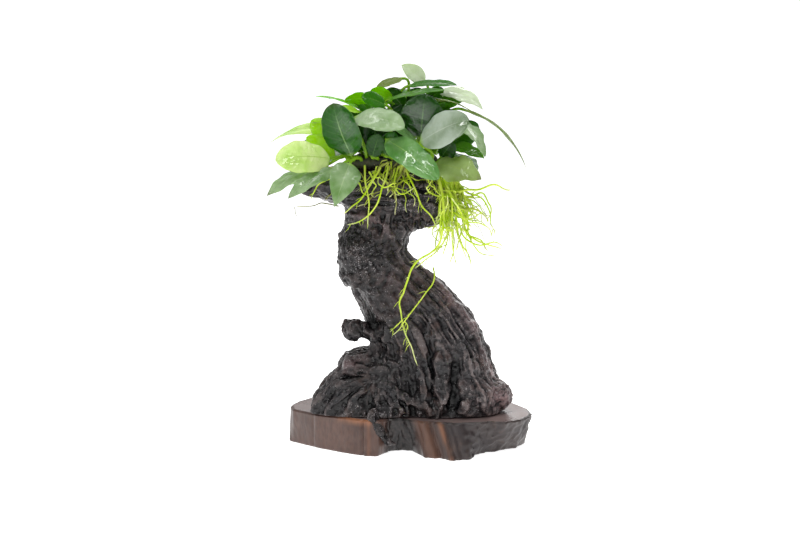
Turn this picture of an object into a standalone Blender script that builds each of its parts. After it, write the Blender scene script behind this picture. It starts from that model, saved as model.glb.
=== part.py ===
"""Anubias growing on a piece of dark driftwood that stands on a sawn wooden slab.

Metres, +Z up. The origin is the middle of the slab's underside, the plant's front faces -Y and
the knee of the driftwood points to -X. The driftwood is one grown shape, parted at its forks.
Every leaf is one solid: a round stalk that flattens into its blade. Lengths in the tables below
are millimetres, and mm() turns them into metres.
"""

import math

import bmesh
import bpy
from mathutils import Matrix, Vector

GAP = 0.3                 # clearance between pieces that touch
SLAB_THICKNESS = 25.0
SLAB_CHAMFER = 1.2
WOOD_SIDES = 22
CROWN_SIDES = 16
STALK_RADIUS = 0.95
BLADE_HALF_THICKNESS = 0.42
LEAF_SIDES = 8
ROOT_SIDES = 6
RHIZOME_SIDES = 8

# Outlines of the slab, anticlockwise from its left corner: (x, y) underneath and (x, y) on top.
SLAB_OUTLINE = [
    ((-78, 4), (-77, 8)), ((-74, 0), (-75, -5)), ((-56, -18), (-58, -21)), ((-38, -32), (-38, -31)),
    ((-24, -41), (-24, -39)), ((-16, -42), (-15, -41)), ((-8, -27), (-8, -36)), ((1, -23), (1, -35)),
    ((9, -26), (8, -40)), ((17, -46), (17, -44)), ((27, -48), (29, -47)), ((37, -55), (38, -49)),
    ((46, -51), (49, -47)), ((55, -33), (61, -44)), ((69, -25), (73, -46)), ((80, -18), (84, -37)),
    ((87, -5), (91, -21)), ((88, 8), (90, -3)), ((82, 24), (83, 12)), ((74, 36), (74, 30)),
    ((56, 48), (56, 46)), ((30, 53), (30, 51)), ((2, 50), (2, 49)), ((-24, 54), (-24, 53)),
    ((-46, 49), (-46, 47)), ((-64, 38), (-63, 37)), ((-74, 22), (-73, 22)),
]

# Level sections of the trunk: height, left, right, front, back.
TRUNK_SECTIONS = [
    (25.3, -8, 72, -36, 31), (34, -8, 74, -37, 32), (45, -9, 70, -36, 32), (59, -11, 65, -35, 31),
    (74, -15, 60, -33, 30), (88, -24, 53, -31, 28), (102, -29, 42, -29, 26), (113, -36, 31, -28, 25),
    (123, -41, 20, -28, 23), (131, -43, 10, -28, 22), (139, -43, 4, -27, 21), (147, -42, 6, -26, 21),
    (155, -39, 10, -26, 22), (168, -38, 12, -26, 23), (184, -35, 12, -26, 23),
]
# Upright sections of the crown, from the tip of its left arm: x, front, back, underside, top.
CROWN_SECTIONS = [
    (-67.5, -11, -5, 179, 184), (-62, -17, 2, 177, 191), (-53, -23, 11, 173.5, 195.5),
    (-42, -27, 19, 170.5, 197), (-26, -29, 25, 166, 197), (-8, -30, 28, 160, 197),
    (10, -30, 28, 155, 197), (22, -28, 25, 156, 196), (31, -22, 19, 159, 193), (37, -12, 9, 167, 187),
]
# Upright sections of the root flare that kneels on the slab: x, front, back, top.
FLARE_SECTIONS = [
    (-62, -19, -6, 31), (-58, -23, 4, 39), (-51, -27, 13, 46), (-43, -30, 19, 55), (-38, -31, 22, 64),
    (-29, -33, 25, 67.5), (-19, -34, 27, 70.5), (-8, -34, 27, 73), (6, -33, 26, 72),
    (16, -22, 16, 60),
]
# The stub: centreline with its radius.
STUB_LINE = [
    ((-8, -12, 82), 6.5), ((-20, -13, 83), 6.2), ((-27, -14, 84), 6.2), ((-31.5, -14.5, 84), 7.4),
    ((-36, -15, 83.5), 6.8), ((-38.8, -15, 83), 3.6),
]
RIBS, RIB_DEPTH, RIB_TWIST = 6, 0.05, 0.035      # the twist is in radians a millimetre
BURL_CENTRE, BURL_RADII = (66, -12, 36.5), (12, 13, 11.5)
# Where the driftwood is parted: a point on the cut, and the branch's direction there.
FORKS = {
    "wood_arm_left": ((-40, 0, 184), (-1, 0, 0.15), (60, 90, 44)),
    "wood_arm_right": ((15, 0, 176), (1, 0, -0.1), (60, 90, 56)),
    "wood_stub": ((-26, -14, 84), (-1, 0, 0), (40, 44, 16)),
    "wood_knee": ((-9, 0, 45), (-1, 0, 0), (110, 110, 57.4)),
}

RHIZOMES = {
    "rhizome_front": ([(-38, -16, 199.8), (-26, -18, 200.3), (-10, -20, 199.8), (6, -20, 199.8),
                       (21, -18, 199.5), (33, -11, 196)], 4.1),
    "rhizome_back": ([(-31, 4, 201.8), (-18, 9, 201.8), (-3, 11, 201.8), (12, 10, 201.8), (26, 4, 200.4)], 4.3),
}
RHIZOME_RINGS = 14
NODE_SWELLING = 0.14      # how far the leaf scars ring the rhizome out, as a share of its radius

# Leaves: rhizome, share of the way along it, blade base, blade tip, way its upper face points,
# blade width, how high the blade arches, how deep its halves fold up, twist from base to tip in degrees.
LEAVES = {
    "leaf_01": ("rhizome_front", 0.16, (-33, -27, 206), (-45, -37, 242), (-0.35, -0.93, 0.1), 27, 4, 0.12, 0),
    "leaf_02": ("rhizome_front", 0.24, (-30, -31, 232), (3, -48, 226), (0.0, -0.66, 0.75), 22, 4, 0.10, 0),
    "leaf_03": ("rhizome_front", 0.72, (14, -21, 217), (17, -31, 248), (-0.05, -0.92, 0.35), 29, 3, 0.14, 0),
    "leaf_04": ("rhizome_front", 0.80, (14, -35, 216), (46, -49, 232), (0.1, -0.82, 0.55), 25, 4, 0.10, 0),
    "leaf_05": ("rhizome_front", 0.58, (-9, -33, 217), (26, -52, 192), (-0.2, -0.75, 0.6), 20, 5, 0.10, 0),
    "leaf_06": ("rhizome_front", 0.66, (11, -27, 216), (-8, -37, 227), (0.1, -0.5, 0.86), 12, 2, 0.10, 0),
    "leaf_07": ("rhizome_front", 0.90, (24, -28, 200), (55, -40, 191), (0.15, -0.78, 0.6), 23, 4, 0.10, 0),
    "leaf_08": ("rhizome_front", 0.97, (42, -21, 229), (58, -28, 205), (0.75, -0.5, 0.45), 18, 3, 0.14, 0),
    "leaf_09": ("rhizome_back", 0.97, (36, -6, 211), (58, -15, 203), (0.35, -0.6, 0.72), 14, 2, 0.20, 0),
    "leaf_10": ("rhizome_back", 0.86, (28, 4, 248), (57, -6, 236), (0.45, -0.5, 0.74), 20, 5, 0.10, 0),
    "leaf_11": ("rhizome_back", 0.80, (17, -12, 243), (50, -22, 235), (0.25, 0.1, 0.96), 16, 3, 0.12, 0),
    "leaf_12": ("rhizome_back", 0.93, (43, -3, 236), (88, -8, 194), (0.6, 0.2, 0.75), 12, 8, 0.14, 0),
    "leaf_13": ("rhizome_back", 0.64, (6, -2, 252), (39, -10, 253), (0.05, 0.0, 0.98), 15, 2, 0.12, 0),
    "leaf_14": ("rhizome_front", 0.50, (-8, -13, 243), (30, -22, 250), (-0.15, -0.2, 0.95), 14, 2, 0.12, 0),
    "leaf_15": ("rhizome_back", 0.76, (23, 13, 243), (45, 9, 250), (0.0, -0.35, 0.93), 12, 2, 0.10, 0),
    "leaf_16": ("rhizome_back", 0.58, (17, 13, 255), (1, 11, 266), (0.35, -0.85, 0.3), 13, 1.5, 0.10, 0),
    "leaf_17": ("rhizome_back", 0.40, (-6, -6, 241), (-20, -14, 250), (-0.35, 0.75, 0.55), 12, 1.5, 0.12, 0),
    "leaf_18": ("rhizome_back", 0.30, (-19, -5, 242), (-38, -12, 243), (-0.2, 0.7, 0.7), 12, 2, 0.12, 0),
    "leaf_19": ("rhizome_back", 0.46, (-10, -20, 240), (-26, -27, 246), (-0.1, -0.8, 0.6), 13, 1.5, 0.10, 0),
    "leaf_20": ("rhizome_back", 0.14, (-29, 1, 237), (-58, -6, 245), (-0.1, 0.1, 1), 12, 2, 0.12, 0),
    "leaf_21": ("rhizome_back", 0.20, (-28, -14, 235), (-40, -21, 238), (0.0, -0.5, 0.87), 10, 1, 0.12, 0),
    "leaf_22": ("rhizome_back", 0.05, (-43, -6, 221), (-89, -19, 214), (-0.25, 0.6, 0.75), 17, 7, 0.10, -25),
    "leaf_23": ("rhizome_front", 0.08, (-48, -27, 204), (-84, -40, 204), (-0.1, -0.86, 0.5), 25, 4, 0.10, 0),
    "leaf_24": ("rhizome_back", 0.10, (-45, -14, 204), (-64, -20, 218), (0.3, -0.85, 0.45), 14, 2, 0.10, 0),
    "leaf_25": ("rhizome_front", 0.04, (-50, -19, 199), (-89.8, -41, 180), (-0.3, -0.55, 0.78), 20, 4, 0.12, 0),
    "leaf_26": ("rhizome_front", 0.12, (-45, -33, 197), (-75, -50, 179), (-0.3, -0.75, 0.6), 14, 4, 0.12, 0),
    "leaf_27": ("rhizome_front", 0.20, (-34, -36, 201), (-44, -49, 173), (0.05, -0.9, 0.35), 21, 4, 0.20, 0),
    "leaf_28": ("rhizome_front", 0.40, (-21, -15, 206), (-15, -20, 231), (0.15, -0.97, 0.15), 22, 2, 0.10, 0),
    "leaf_29": ("rhizome_back", 0.26, (-27, -8, 207), (-32, -15, 232), (0.25, -0.9, 0.3), 19, 2, 0.10, 0),
    "leaf_30": ("rhizome_back", 0.49, (1, 0, 257), (-16, -7, 251), (0.0, -0.35, 0.93), 11, 1, 0.10, 0),
    "leaf_31": ("rhizome_back", 0.11, (-38, 13, 221), (-67, 28, 208), (-0.4, 0.3, 0.87), 22, 4, 0.12, 0),
    "leaf_32": ("rhizome_back", 0.25, (-24, 18, 226), (-43, 44, 213), (-0.3, 0.6, 0.75), 23, 4, 0.12, 0),
    "leaf_33": ("rhizome_back", 0.36, (-12, 16, 238), (-21, 43, 234), (-0.2, 0.5, 0.85), 21, 4, 0.12, 0),
    "leaf_34": ("rhizome_back", 0.51, (0, 20, 221), (2, 52, 206), (0.0, 0.65, 0.76), 24, 4, 0.12, 0),
    "leaf_35": ("rhizome_back", 0.70, (14, 23, 235), (27, 48, 228), (0.2, 0.6, 0.78), 22, 4, 0.12, 0),
    "leaf_36": ("rhizome_back", 0.78, (24, 18, 218), (48, 38, 204), (0.4, 0.5, 0.77), 22, 4, 0.12, 0),
    "leaf_37": ("rhizome_back", 0.89, (34, 12, 226), (56, 27, 214), (0.5, 0.35, 0.78), 20, 4, 0.12, 0),
    "leaf_38": ("rhizome_back", 0.43, (-11, 21, 208), (-25, 46, 191), (-0.2, 0.7, 0.7), 21, 4, 0.12, 0),
    "leaf_39": ("rhizome_back", 0.19, (-31, 18, 208), (-55, 37, 194), (-0.4, 0.5, 0.77), 21, 4, 0.12, 0),
    "leaf_40": ("rhizome_back", 0.62, (9, 21, 207), (18, 48, 190), (0.2, 0.7, 0.7), 21, 4, 0.12, 0),
    "leaf_41": ("rhizome_back", 0.55, (3, 19, 243), (6, 45, 245), (0.0, 0.3, 0.95), 20, 4, 0.12, 0),
    "leaf_42": ("rhizome_back", 0.96, (35, 8, 205), (53, 27, 190), (0.5, 0.35, 0.78), 20, 4, 0.12, 0),
}
PETIOLE_SHARES = (0.0, 0.35, 0.7)
BLADE_SHARES = (0.0, 0.09, 0.26, 0.48, 0.72, 0.92)
WIDTH_RISE, WIDTH_FALL = 0.5, 0.55     # the blade is widest at rise / (rise + fall) of its length

# The main roots: radius at the rhizome, and the points that each hangs through.
ROOTS = {
    "root_01": (0.8, [(24, -22.4, 197), (26.5, -28.5, 190), (29, -34, 177), (29, -37, 158), (25, -38, 144),
                      (14, -39, 136), (7, -39.5, 128), (3, -39.5, 116), (0, -39, 106), (2, -38.5, 92),
                      (7, -39.5, 78), (12, -40, 63)]),
    "root_02": (0.7, [(30, -18.8, 195.3), (34, -24, 186), (38.5, -28.5, 174), (39, -30, 160),
                      (41, -30, 146), (46, -29, 135)]),
    "root_03": (0.7, [(36, -12.5, 194), (40, -18, 186), (44, -23, 176), (46, -25, 162), (48, -25, 148),
                      (56, -24, 139), (66, -23, 136)]),
    "root_04": (0.65, [(27, -21.3, 196.5), (31, -27, 188), (35.5, -33, 173), (35, -35, 156),
                       (36, -34, 142), (39, -33, 131)]),
    "root_05": (0.7, [(3, -25.6, 198.5), (7, -30.5, 190), (11, -33, 182), (15, -33.5, 173),
                      (23, -33, 162), (26, -32, 154)]),
    "root_06": (0.7, [(-13, -25.6, 198.5), (-18, -32, 190), (-25, -37.5, 179), (-33, -36, 172),
                      (-38, -34, 167)]),
    "root_07": (0.65, [(-24, -23.8, 198.9), (-23.5, -30, 190), (-22, -33, 181), (-21.5, -33.5, 170),
                       (-22, -33, 157)]),
    "root_08": (0.65, [(-8, -25.6, 198.5), (-10, -32, 189), (-14, -36, 178), (-20, -36.5, 167),
                       (-28, -35.5, 161), (-36, -32.5, 159)]),
    "root_09": (0.6, [(-1, -25.6, 198.5), (-4, -31.5, 189), (-1, -34, 182), (4, -35, 181), (10, -35.5, 185)]),
    "root_10": (0.6, [(-41, -18.5, 197.5), (-46, -27, 191), (-55, -24.5, 187), (-58, -24, 181),
                      (-61, -23, 176)]),
}
ROOT_POINTS = 9
ROOT_TAPER = 0.5

COLOURS = {
    "slab": ((0.16, 0.085, 0.06), 0.6), "driftwood": ((0.035, 0.028, 0.026), 0.55),
    "rhizome": ((0.2, 0.3, 0.05), 0.5), "leaf": ((0.04, 0.16, 0.03), 0.3), "root": ((0.45, 0.6, 0.06), 0.5),
}


def mm(point):
    """A point given in millimetres, as a vector in metres."""
    return Vector(point) * 0.001


def clear_scene():
    for obj in list(bpy.data.objects):
        bpy.data.objects.remove(obj, do_unlink=True)


def material(name):
    made = bpy.data.materials.get(name)
    if made is None:
        colour, roughness = COLOURS[name]
        made = bpy.data.materials.new(name)
        made.use_nodes = True
        shader = made.node_tree.nodes["Principled BSDF"]
        shader.inputs["Base Color"].default_value = (*colour, 1)
        shader.inputs["Roughness"].default_value = roughness
        shader.inputs["Metallic"].default_value = 0
    return made


def add_object(name, mesh, material_name):
    obj = bpy.data.objects.new(name, mesh)
    bpy.context.scene.collection.objects.link(obj)
    if material_name and not mesh.materials:
        mesh.materials.append(material(material_name))
    return obj


def loft(rings, apex=None):
    """A closed mesh through rings of points, all of one length. apex closes the last ring to a point."""
    bm = bmesh.new()
    loops = [[bm.verts.new(p) for p in ring] for ring in rings]
    count = len(rings[0])
    for low, high in zip(loops, loops[1:]):
        for i in range(count):
            j = (i + 1) % count
            bm.faces.new((low[i], low[j], high[j], high[i]))
    bm.faces.new(loops[0])
    if apex is None:
        bm.faces.new(loops[-1])
    else:
        tip = bm.verts.new(apex)
        for i in range(count):
            bm.faces.new((loops[-1][i], loops[-1][(i + 1) % count], tip))
    bmesh.ops.recalc_face_normals(bm, faces=bm.faces)
    if bm.calc_volume(signed=True) < 0:
        bmesh.ops.reverse_faces(bm, faces=bm.faces)
    mesh = bpy.data.meshes.new("loft")
    bm.to_mesh(mesh)
    bm.free()
    mesh.shade_smooth()
    mesh.set_sharp_from_angle(angle=math.radians(50))
    return mesh


def smooth_line(points, count):
    """count points, evenly spread, on the smooth curve through a few points (Catmull-Rom)."""
    knots = [points[0] * 2 - points[1], *points, points[-1] * 2 - points[-2]]
    line = []
    for k in range(count):
        place = k / (count - 1) * (len(points) - 1)
        i = min(int(place), len(points) - 2)
        a, b, c, d = knots[i:i + 4]
        t = place - i
        line.append((b * 2 + (c - a) * t + (a * 2 - b * 5 + c * 4 - d) * t ** 2
                     + (b * 3 - a - c * 3 + d) * t ** 3) / 2)
    return line


def tangents(line):
    """The direction of travel at each point of a line."""
    last = len(line) - 1
    return [(line[min(i + 1, last)] - line[max(i - 1, 0)]).normalized() for i in range(last + 1)]


def carried_frames(directions, side):
    """A side and an up vector at each point, turned as little as the line allows."""
    frames = []
    for direction in directions:
        side = (side - direction * side.dot(direction)).normalized()
        frames.append((side, side.cross(direction)))
    return frames


def tube_rings(line, radii, sides):
    directions = tangents(line)
    start = directions[0].orthogonal().normalized()
    rings = []
    for centre, radius, (side, up) in zip(line, radii, carried_frames(directions, start)):
        turns = [2 * math.pi * k / sides for k in range(sides)]
        rings.append([centre + (side * math.cos(a) + up * math.sin(a)) * radius for a in turns])
    return rings


# ---------------------------------------------------------------- the slab

def make_slab():
    """A sawn slab with a natural edge: flat top and underside, the edge leaning as the bark did."""
    under = [mm((x, y, 0)) for (x, y), _ in SLAB_OUTLINE]
    rim = [mm((x, y, SLAB_THICKNESS - SLAB_CHAMFER)) for _, (x, y) in SLAB_OUTLINE]
    middle = sum(rim, Vector()) / len(rim)
    top = []
    for point in rim:
        inward = Vector((middle.x - point.x, middle.y - point.y, 0)).normalized()
        top.append(point + mm(inward * SLAB_CHAMFER) + mm((0, 0, SLAB_CHAMFER)))
    return add_object("slab", loft([under, rim, top]), "slab")


# ---------------------------------------------------------------- the driftwood

def rounded_ring(low, high, place, sides, squareness=0.8):
    """A rounded rectangle between two corners (u, v), whose points place() puts in space."""
    (u0, v0), (u1, v1) = low, high
    ring = []
    for k in range(sides):
        a = 2 * math.pi * k / sides
        c, s = math.cos(a), math.sin(a)
        u = (u0 + u1) / 2 + (u1 - u0) / 2 * math.copysign(abs(c) ** squareness, c)
        v = (v0 + v1) / 2 + (v1 - v0) / 2 * math.copysign(abs(s) ** squareness, s)
        ring.append(place(u, v))
    return ring


def trunk_mesh():
    """The trunk: level sections, with shallow ribs that wind round it as they climb."""
    rings = []
    for z, left, right, front, back in TRUNK_SECTIONS:
        middle = Vector(((left + right) / 2, (front + back) / 2, 0))
        ring = []
        for point in rounded_ring((left, front), (right, back), lambda u, v: Vector((u, v, 0)), WOOD_SIDES):
            out = point - middle
            turn = math.atan2(out.y, out.x)
            rib = 1 - RIB_DEPTH * (1 + math.cos(RIBS * turn + z * RIB_TWIST)) / 2
            ring.append(mm(middle + out * rib + Vector((0, 0, z))))
        rings.append(ring)
    return loft(rings)


def crown_mesh():
    """The crown: a broad head on the neck, with an arm to each side."""
    rings = [rounded_ring((front, low), (back, top), lambda y, z, x=x: mm((x, y, z)), CROWN_SIDES)
             for x, front, back, low, top in CROWN_SECTIONS]
    return loft(rings)


def flare_mesh():
    """The knee: a root flare with a flat sole and a domed back."""
    rings = []
    sole = TRUNK_SECTIONS[0][0]
    for x, front, back, top in FLARE_SECTIONS:
        ring = []
        for k in range(CROWN_SIDES):
            a = math.pi * k / (CROWN_SIDES - 1)
            across = math.copysign(abs(math.cos(a)) ** 0.75, math.cos(a))
            dome = max(0.0, math.sin(a)) ** 0.8
            ring.append(mm((x, (front + back) / 2 + (back - front) / 2 * across, sole + (top - sole) * dome)))
        rings.append(ring)
    return loft(rings)


def stub_mesh():
    line = [mm(p) for p, _ in STUB_LINE]
    return loft(tube_rings(line, [r * 0.001 for _, r in STUB_LINE], 12))


def burl_mesh():
    bm = bmesh.new()
    spread = Matrix.Diagonal((*mm(BURL_RADII), 1))
    bmesh.ops.create_icosphere(bm, subdivisions=2, radius=1, matrix=Matrix.Translation(mm(BURL_CENTRE)) @ spread)
    mesh = bpy.data.meshes.new("burl")
    bm.to_mesh(mesh)
    bm.free()
    return mesh


def hidden(obj):
    obj.hide_render = True
    obj.display_type = "WIRE"
    return obj


def boolean(obj, other, operation):
    modifier = obj.modifiers.new(operation.lower() + "_" + other.name, "BOOLEAN")
    modifier.operation = operation
    modifier.object = other
    modifier.solver = "EXACT"


def fork_block(name, shift):
    """A block whose near face is the cut at a fork, moved shift millimetres towards the trunk."""
    point, way, (reach, depth, height) = FORKS[name]
    way = Vector(way).normalized()
    turn = way.to_track_quat("X", "Z").to_matrix().to_4x4()
    centre = mm(Vector(point) + way * (reach / 2 - shift))
    bm = bmesh.new()
    size = Matrix.Diagonal((*mm((reach, depth, height)), 1))
    bmesh.ops.create_cube(bm, size=1, matrix=Matrix.Translation(centre) @ turn @ size)
    mesh = bpy.data.meshes.new(name + "_cutter")
    bm.to_mesh(mesh)
    bm.free()
    return hidden(add_object(f"{name}_cutter_{'trunk' if shift else 'branch'}", mesh, None))


def make_driftwood():
    """One grown shape, joined from its masses and then parted at the forks."""
    whole = hidden(add_object("driftwood_whole", trunk_mesh(), "driftwood"))
    masses = {"crown": crown_mesh(), "flare": flare_mesh(), "stub": stub_mesh(), "burl": burl_mesh()}
    for name, mesh in masses.items():
        boolean(whole, hidden(add_object("mass_" + name, mesh, "driftwood")), "UNION")
    bpy.context.view_layer.update()
    graph = bpy.context.evaluated_depsgraph_get()
    joined = bpy.data.meshes.new_from_object(whole.evaluated_get(graph))
    trunk = add_object("wood_trunk", joined, "driftwood")
    for name in FORKS:
        branch = add_object(name, joined.copy(), "driftwood")
        boolean(branch, fork_block(name, 0), "INTERSECT")
        boolean(trunk, fork_block(name, GAP), "DIFFERENCE")


# ---------------------------------------------------------------- the plant

def rhizome_line(name):
    points, radius = RHIZOMES[name]
    return smooth_line([mm(p) for p in points], RHIZOME_RINGS), radius * 0.001


def make_rhizome(name):
    """A creeping stem, swollen at every other ring where a leaf has been."""
    line, radius = rhizome_line(name)
    radii = [radius * (1 + NODE_SWELLING * (i % 2)) for i in range(RHIZOME_RINGS)]
    radii[0] = radii[-1] = radius * 0.55
    return add_object(name, loft(tube_rings(line, radii, RHIZOME_SIDES)), "rhizome")


def petiole_start(rhizome, share, towards):
    """Where a leaf stalk leaves its rhizome, and the way it leaves."""
    line, radius = rhizome_line(rhizome)
    place = share * (RHIZOME_RINGS - 1)
    i = min(int(place), RHIZOME_RINGS - 2)
    centre = line[i].lerp(line[i + 1], place - i)
    along = (line[i + 1] - line[i]).normalized()
    out = (towards - centre).normalized() + Vector((0, 0, 0.6))
    out = (out - along * out.dot(along)).normalized()
    clear = radius * (1 + NODE_SWELLING) + (GAP + STALK_RADIUS * 0.35) * 0.001
    return centre + out * clear, out


def width_share(u):
    """The blade's half width at a share of its length, from 0 to 1 at the widest."""
    widest = WIDTH_RISE / (WIDTH_RISE + WIDTH_FALL)
    most = widest ** WIDTH_RISE * (1 - widest) ** WIDTH_FALL
    return u ** WIDTH_RISE * (1 - u) ** WIDTH_FALL / most


def bezier(a, b, c, d, t):
    s = 1 - t
    return a * s ** 3 + b * 3 * s ** 2 * t + c * 3 * s * t ** 2 + d * t ** 3


def leaf_rings(rhizome, share, base, tip, face, width, arch, fold, twist):
    """The rings of one leaf, from the foot of its stalk to near its tip, and the tip itself."""
    base, tip, face = mm(base), mm(tip), Vector(face).normalized()
    span = tip - base

    def blade_point(u):
        return base + span * u + face * (arch * 0.001 * 4 * u * (1 - u))

    foot, out = petiole_start(rhizome, share, base)
    onward = (blade_point(0.05) - base).normalized()
    reach = (base - foot).length
    stalk = [bezier(foot, foot + out * reach * 0.45, base - onward * reach * 0.3, base, t)
             for t in PETIOLE_SHARES]
    blade = [blade_point(u) for u in BLADE_SHARES]
    line = stalk + blade
    ways = tangents(line + [tip])[:-1]
    first = len(stalk)
    side = ways[first].cross(face).normalized()
    frames = carried_frames(ways[first::-1], side)[::-1]
    for way, u in zip(ways[first + 1:], BLADE_SHARES[1:]):
        turned = Matrix.Rotation(math.radians(twist) * u, 3, way)
        level = way.cross(face).normalized()
        frames.append((turned @ level, turned @ level.cross(way)))
    rings = []
    for i, (centre, (side, up)) in enumerate(zip(line, frames)):
        flat = i > first
        half = width / 2 * width_share(BLADE_SHARES[i - first]) if flat else STALK_RADIUS
        thick = BLADE_HALF_THICKNESS if flat else STALK_RADIUS
        ring = []
        for k in range(LEAF_SIDES):
            a = 2 * math.pi * k / LEAF_SIDES
            across, lift = math.cos(a), thick * math.sin(a)
            if flat:
                lift += fold * half * abs(across)
            ring.append(centre + side * (half * across * 0.001) + up * (lift * 0.001))
        rings.append(ring)
    return rings, tip


def make_leaf(name):
    rings, tip = leaf_rings(*LEAVES[name])
    return add_object(name, loft(rings, apex=tip), "leaf")


def make_root(name):
    """A hanging root, thinner towards its free end."""
    radius, points = ROOTS[name]
    count = max(ROOT_POINTS, len(points) + 3)
    line = smooth_line([mm(p) for p in points], count)
    radii = [radius * 0.001 * (1 - (1 - ROOT_TAPER) * i / (count - 1)) for i in range(count)]
    return add_object(name, loft(tube_rings(line, radii, ROOT_SIDES)), "root")


def main():
    clear_scene()
    make_slab()
    make_driftwood()
    for name in RHIZOMES:
        make_rhizome(name)
    for name in LEAVES:
        make_leaf(name)
    for name in ROOTS:
        make_root(name)


main()
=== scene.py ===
"""The looks of the anubias on driftwood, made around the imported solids.

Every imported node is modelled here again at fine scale: the driftwood as one sculpted mesh that is
parted at its forks, the slab as a sawn block with a natural edge, and leaves, rhizomes and roots as
closed meshes along the lines of their solids. Inner leaves and fine roots are only here. Tables are in
millimetres, mm() turns them into metres, and colours are given as sRGB levels from 0 to 255.
"""

import math
import random

import bmesh
import bpy
import numpy as np
from mathutils import Matrix, Vector, noise
from mathutils.bvhtree import BVHTree


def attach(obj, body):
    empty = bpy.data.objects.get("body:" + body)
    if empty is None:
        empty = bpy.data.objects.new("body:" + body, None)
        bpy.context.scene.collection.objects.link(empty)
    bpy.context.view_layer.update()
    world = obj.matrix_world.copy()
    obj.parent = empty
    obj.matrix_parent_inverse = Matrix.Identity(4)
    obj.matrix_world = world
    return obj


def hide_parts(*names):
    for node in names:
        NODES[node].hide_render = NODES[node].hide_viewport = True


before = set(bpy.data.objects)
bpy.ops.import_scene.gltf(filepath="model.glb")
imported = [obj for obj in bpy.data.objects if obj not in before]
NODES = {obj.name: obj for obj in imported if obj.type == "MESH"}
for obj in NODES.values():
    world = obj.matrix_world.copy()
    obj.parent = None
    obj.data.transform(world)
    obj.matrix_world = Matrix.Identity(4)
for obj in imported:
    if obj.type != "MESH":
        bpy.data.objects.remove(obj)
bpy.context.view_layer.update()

MM = 0.001


# ---------------------------------------------------------------- small tools

def mm(point):
    """A point given in millimetres, as a vector in metres."""
    return Vector(point) * MM


def srgb(*levels):
    """An sRGB colour, 0 to 255, as the linear colour that shaders take."""
    shares = [level / 255 for level in levels]
    return tuple(s / 12.92 if s <= 0.04045 else ((s + 0.055) / 1.055) ** 2.4 for s in shares) + (1.0,)


def smooth_step(low, high, value):
    share = np.clip((value - low) / (high - low), 0.0, 1.0)
    return share * share * (3 - 2 * share)


def smooth_line(points, count):
    """count points, evenly spread, on the smooth curve through a few points (Catmull-Rom)."""
    knots = [points[0] * 2 - points[1], *points, points[-1] * 2 - points[-2]]
    line = []
    for k in range(count):
        place = k / (count - 1) * (len(points) - 1)
        i = min(int(place), len(points) - 2)
        a, b, c, d = knots[i:i + 4]
        t = place - i
        line.append((b * 2 + (c - a) * t + (a * 2 - b * 5 + c * 4 - d) * t ** 2
                     + (b * 3 - a - c * 3 + d) * t ** 3) / 2)
    return line


def tangents(line):
    """The direction of travel at each point of a line."""
    last = len(line) - 1
    return [(line[min(i + 1, last)] - line[max(i - 1, 0)]).normalized() for i in range(last + 1)]


def carried_frames(directions, side):
    """A side and an up vector at each point, turned as little as the line allows."""
    frames = []
    for direction in directions:
        side = (side - direction * side.dot(direction)).normalized()
        frames.append((side, side.cross(direction)))
    return frames


def round_ring(centre, side, up, radius, count):
    """count points round a centre, radius in millimetres."""
    turns = [2 * math.pi * k / count for k in range(count)]
    return [centre + (side * math.cos(a) + up * math.sin(a)) * radius * MM for a in turns]


class Skin:
    """Points, faces and named values at the points, gathered until they become one mesh."""

    def __init__(self, *names):
        self.points, self.faces = [], []
        self.values = {name: [] for name in names}

    def add_rings(self, rings, values):
        """Closes a tube through rings of points, with a flat fan over each end.

        values maps a name to one number for each ring, or to a list of numbers for each ring."""
        first, count = len(self.points), len(rings[0])
        for ring in rings:
            self.points.extend(ring)
        for name, kept in self.values.items():
            for share in values[name]:
                kept.extend(share if isinstance(share, list) else [share] * count)
        for r in range(len(rings) - 1):
            low, high = first + r * count, first + (r + 1) * count
            for i in range(count):
                j = (i + 1) % count
                self.faces.append((low + i, low + j, high + j, high + i))
        for start, order in ((first, -1), (first + (len(rings) - 1) * count, 1)):
            middle = len(self.points)
            ring = self.points[start:start + count]
            self.points.append(sum(ring, Vector()) / count)
            for kept in self.values.values():
                kept.append(kept[start])
            for i in range(count):
                self.faces.append((start + i, start + (i + 1) % count, middle)[::order])

    def to_object(self, name, shader):
        mesh = bpy.data.meshes.new(name)
        mesh.from_pydata([tuple(p) for p in self.points], [], self.faces)
        for label, numbers in self.values.items():
            attribute = mesh.attributes.new(label, "FLOAT", "POINT")
            attribute.data.foreach_set("value", np.array(numbers, np.float32))
        return finished_object(name, mesh, shader)


def finished_object(name, mesh, shader):
    """An object of this mesh, smooth, with its faces turned outwards."""
    bm = bmesh.new()
    bm.from_mesh(mesh)
    bmesh.ops.recalc_face_normals(bm, faces=bm.faces)
    if bm.calc_volume(signed=True) < 0:
        bmesh.ops.reverse_faces(bm, faces=bm.faces)
    bm.to_mesh(mesh)
    bm.free()
    mesh.shade_smooth()
    mesh.materials.clear()
    mesh.materials.append(shader)
    obj = bpy.data.objects.new(name, mesh)
    bpy.context.scene.collection.objects.link(obj)
    return obj


def stand_for(obj, slot, *nodes):
    """The piece rides on the object's one body and replaces these CAD nodes; slot is not used."""
    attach(obj, "root")
    if nodes:
        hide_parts(*nodes)


# ---------------------------------------------------------------- shader tools

def new_material(name):
    made = bpy.data.materials.new(name)
    made.use_nodes = True
    tree = made.node_tree
    return made, tree, tree.nodes["Principled BSDF"], tree.nodes["Material Output"]


def set_inputs(tree, node, inputs):
    """Gives a node's inputs their values, or links them where a socket is given."""
    for key, value in inputs.items():
        if isinstance(value, bpy.types.NodeSocket):
            tree.links.new(value, node.inputs[key])
        else:
            node.inputs[key].default_value = value


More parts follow.
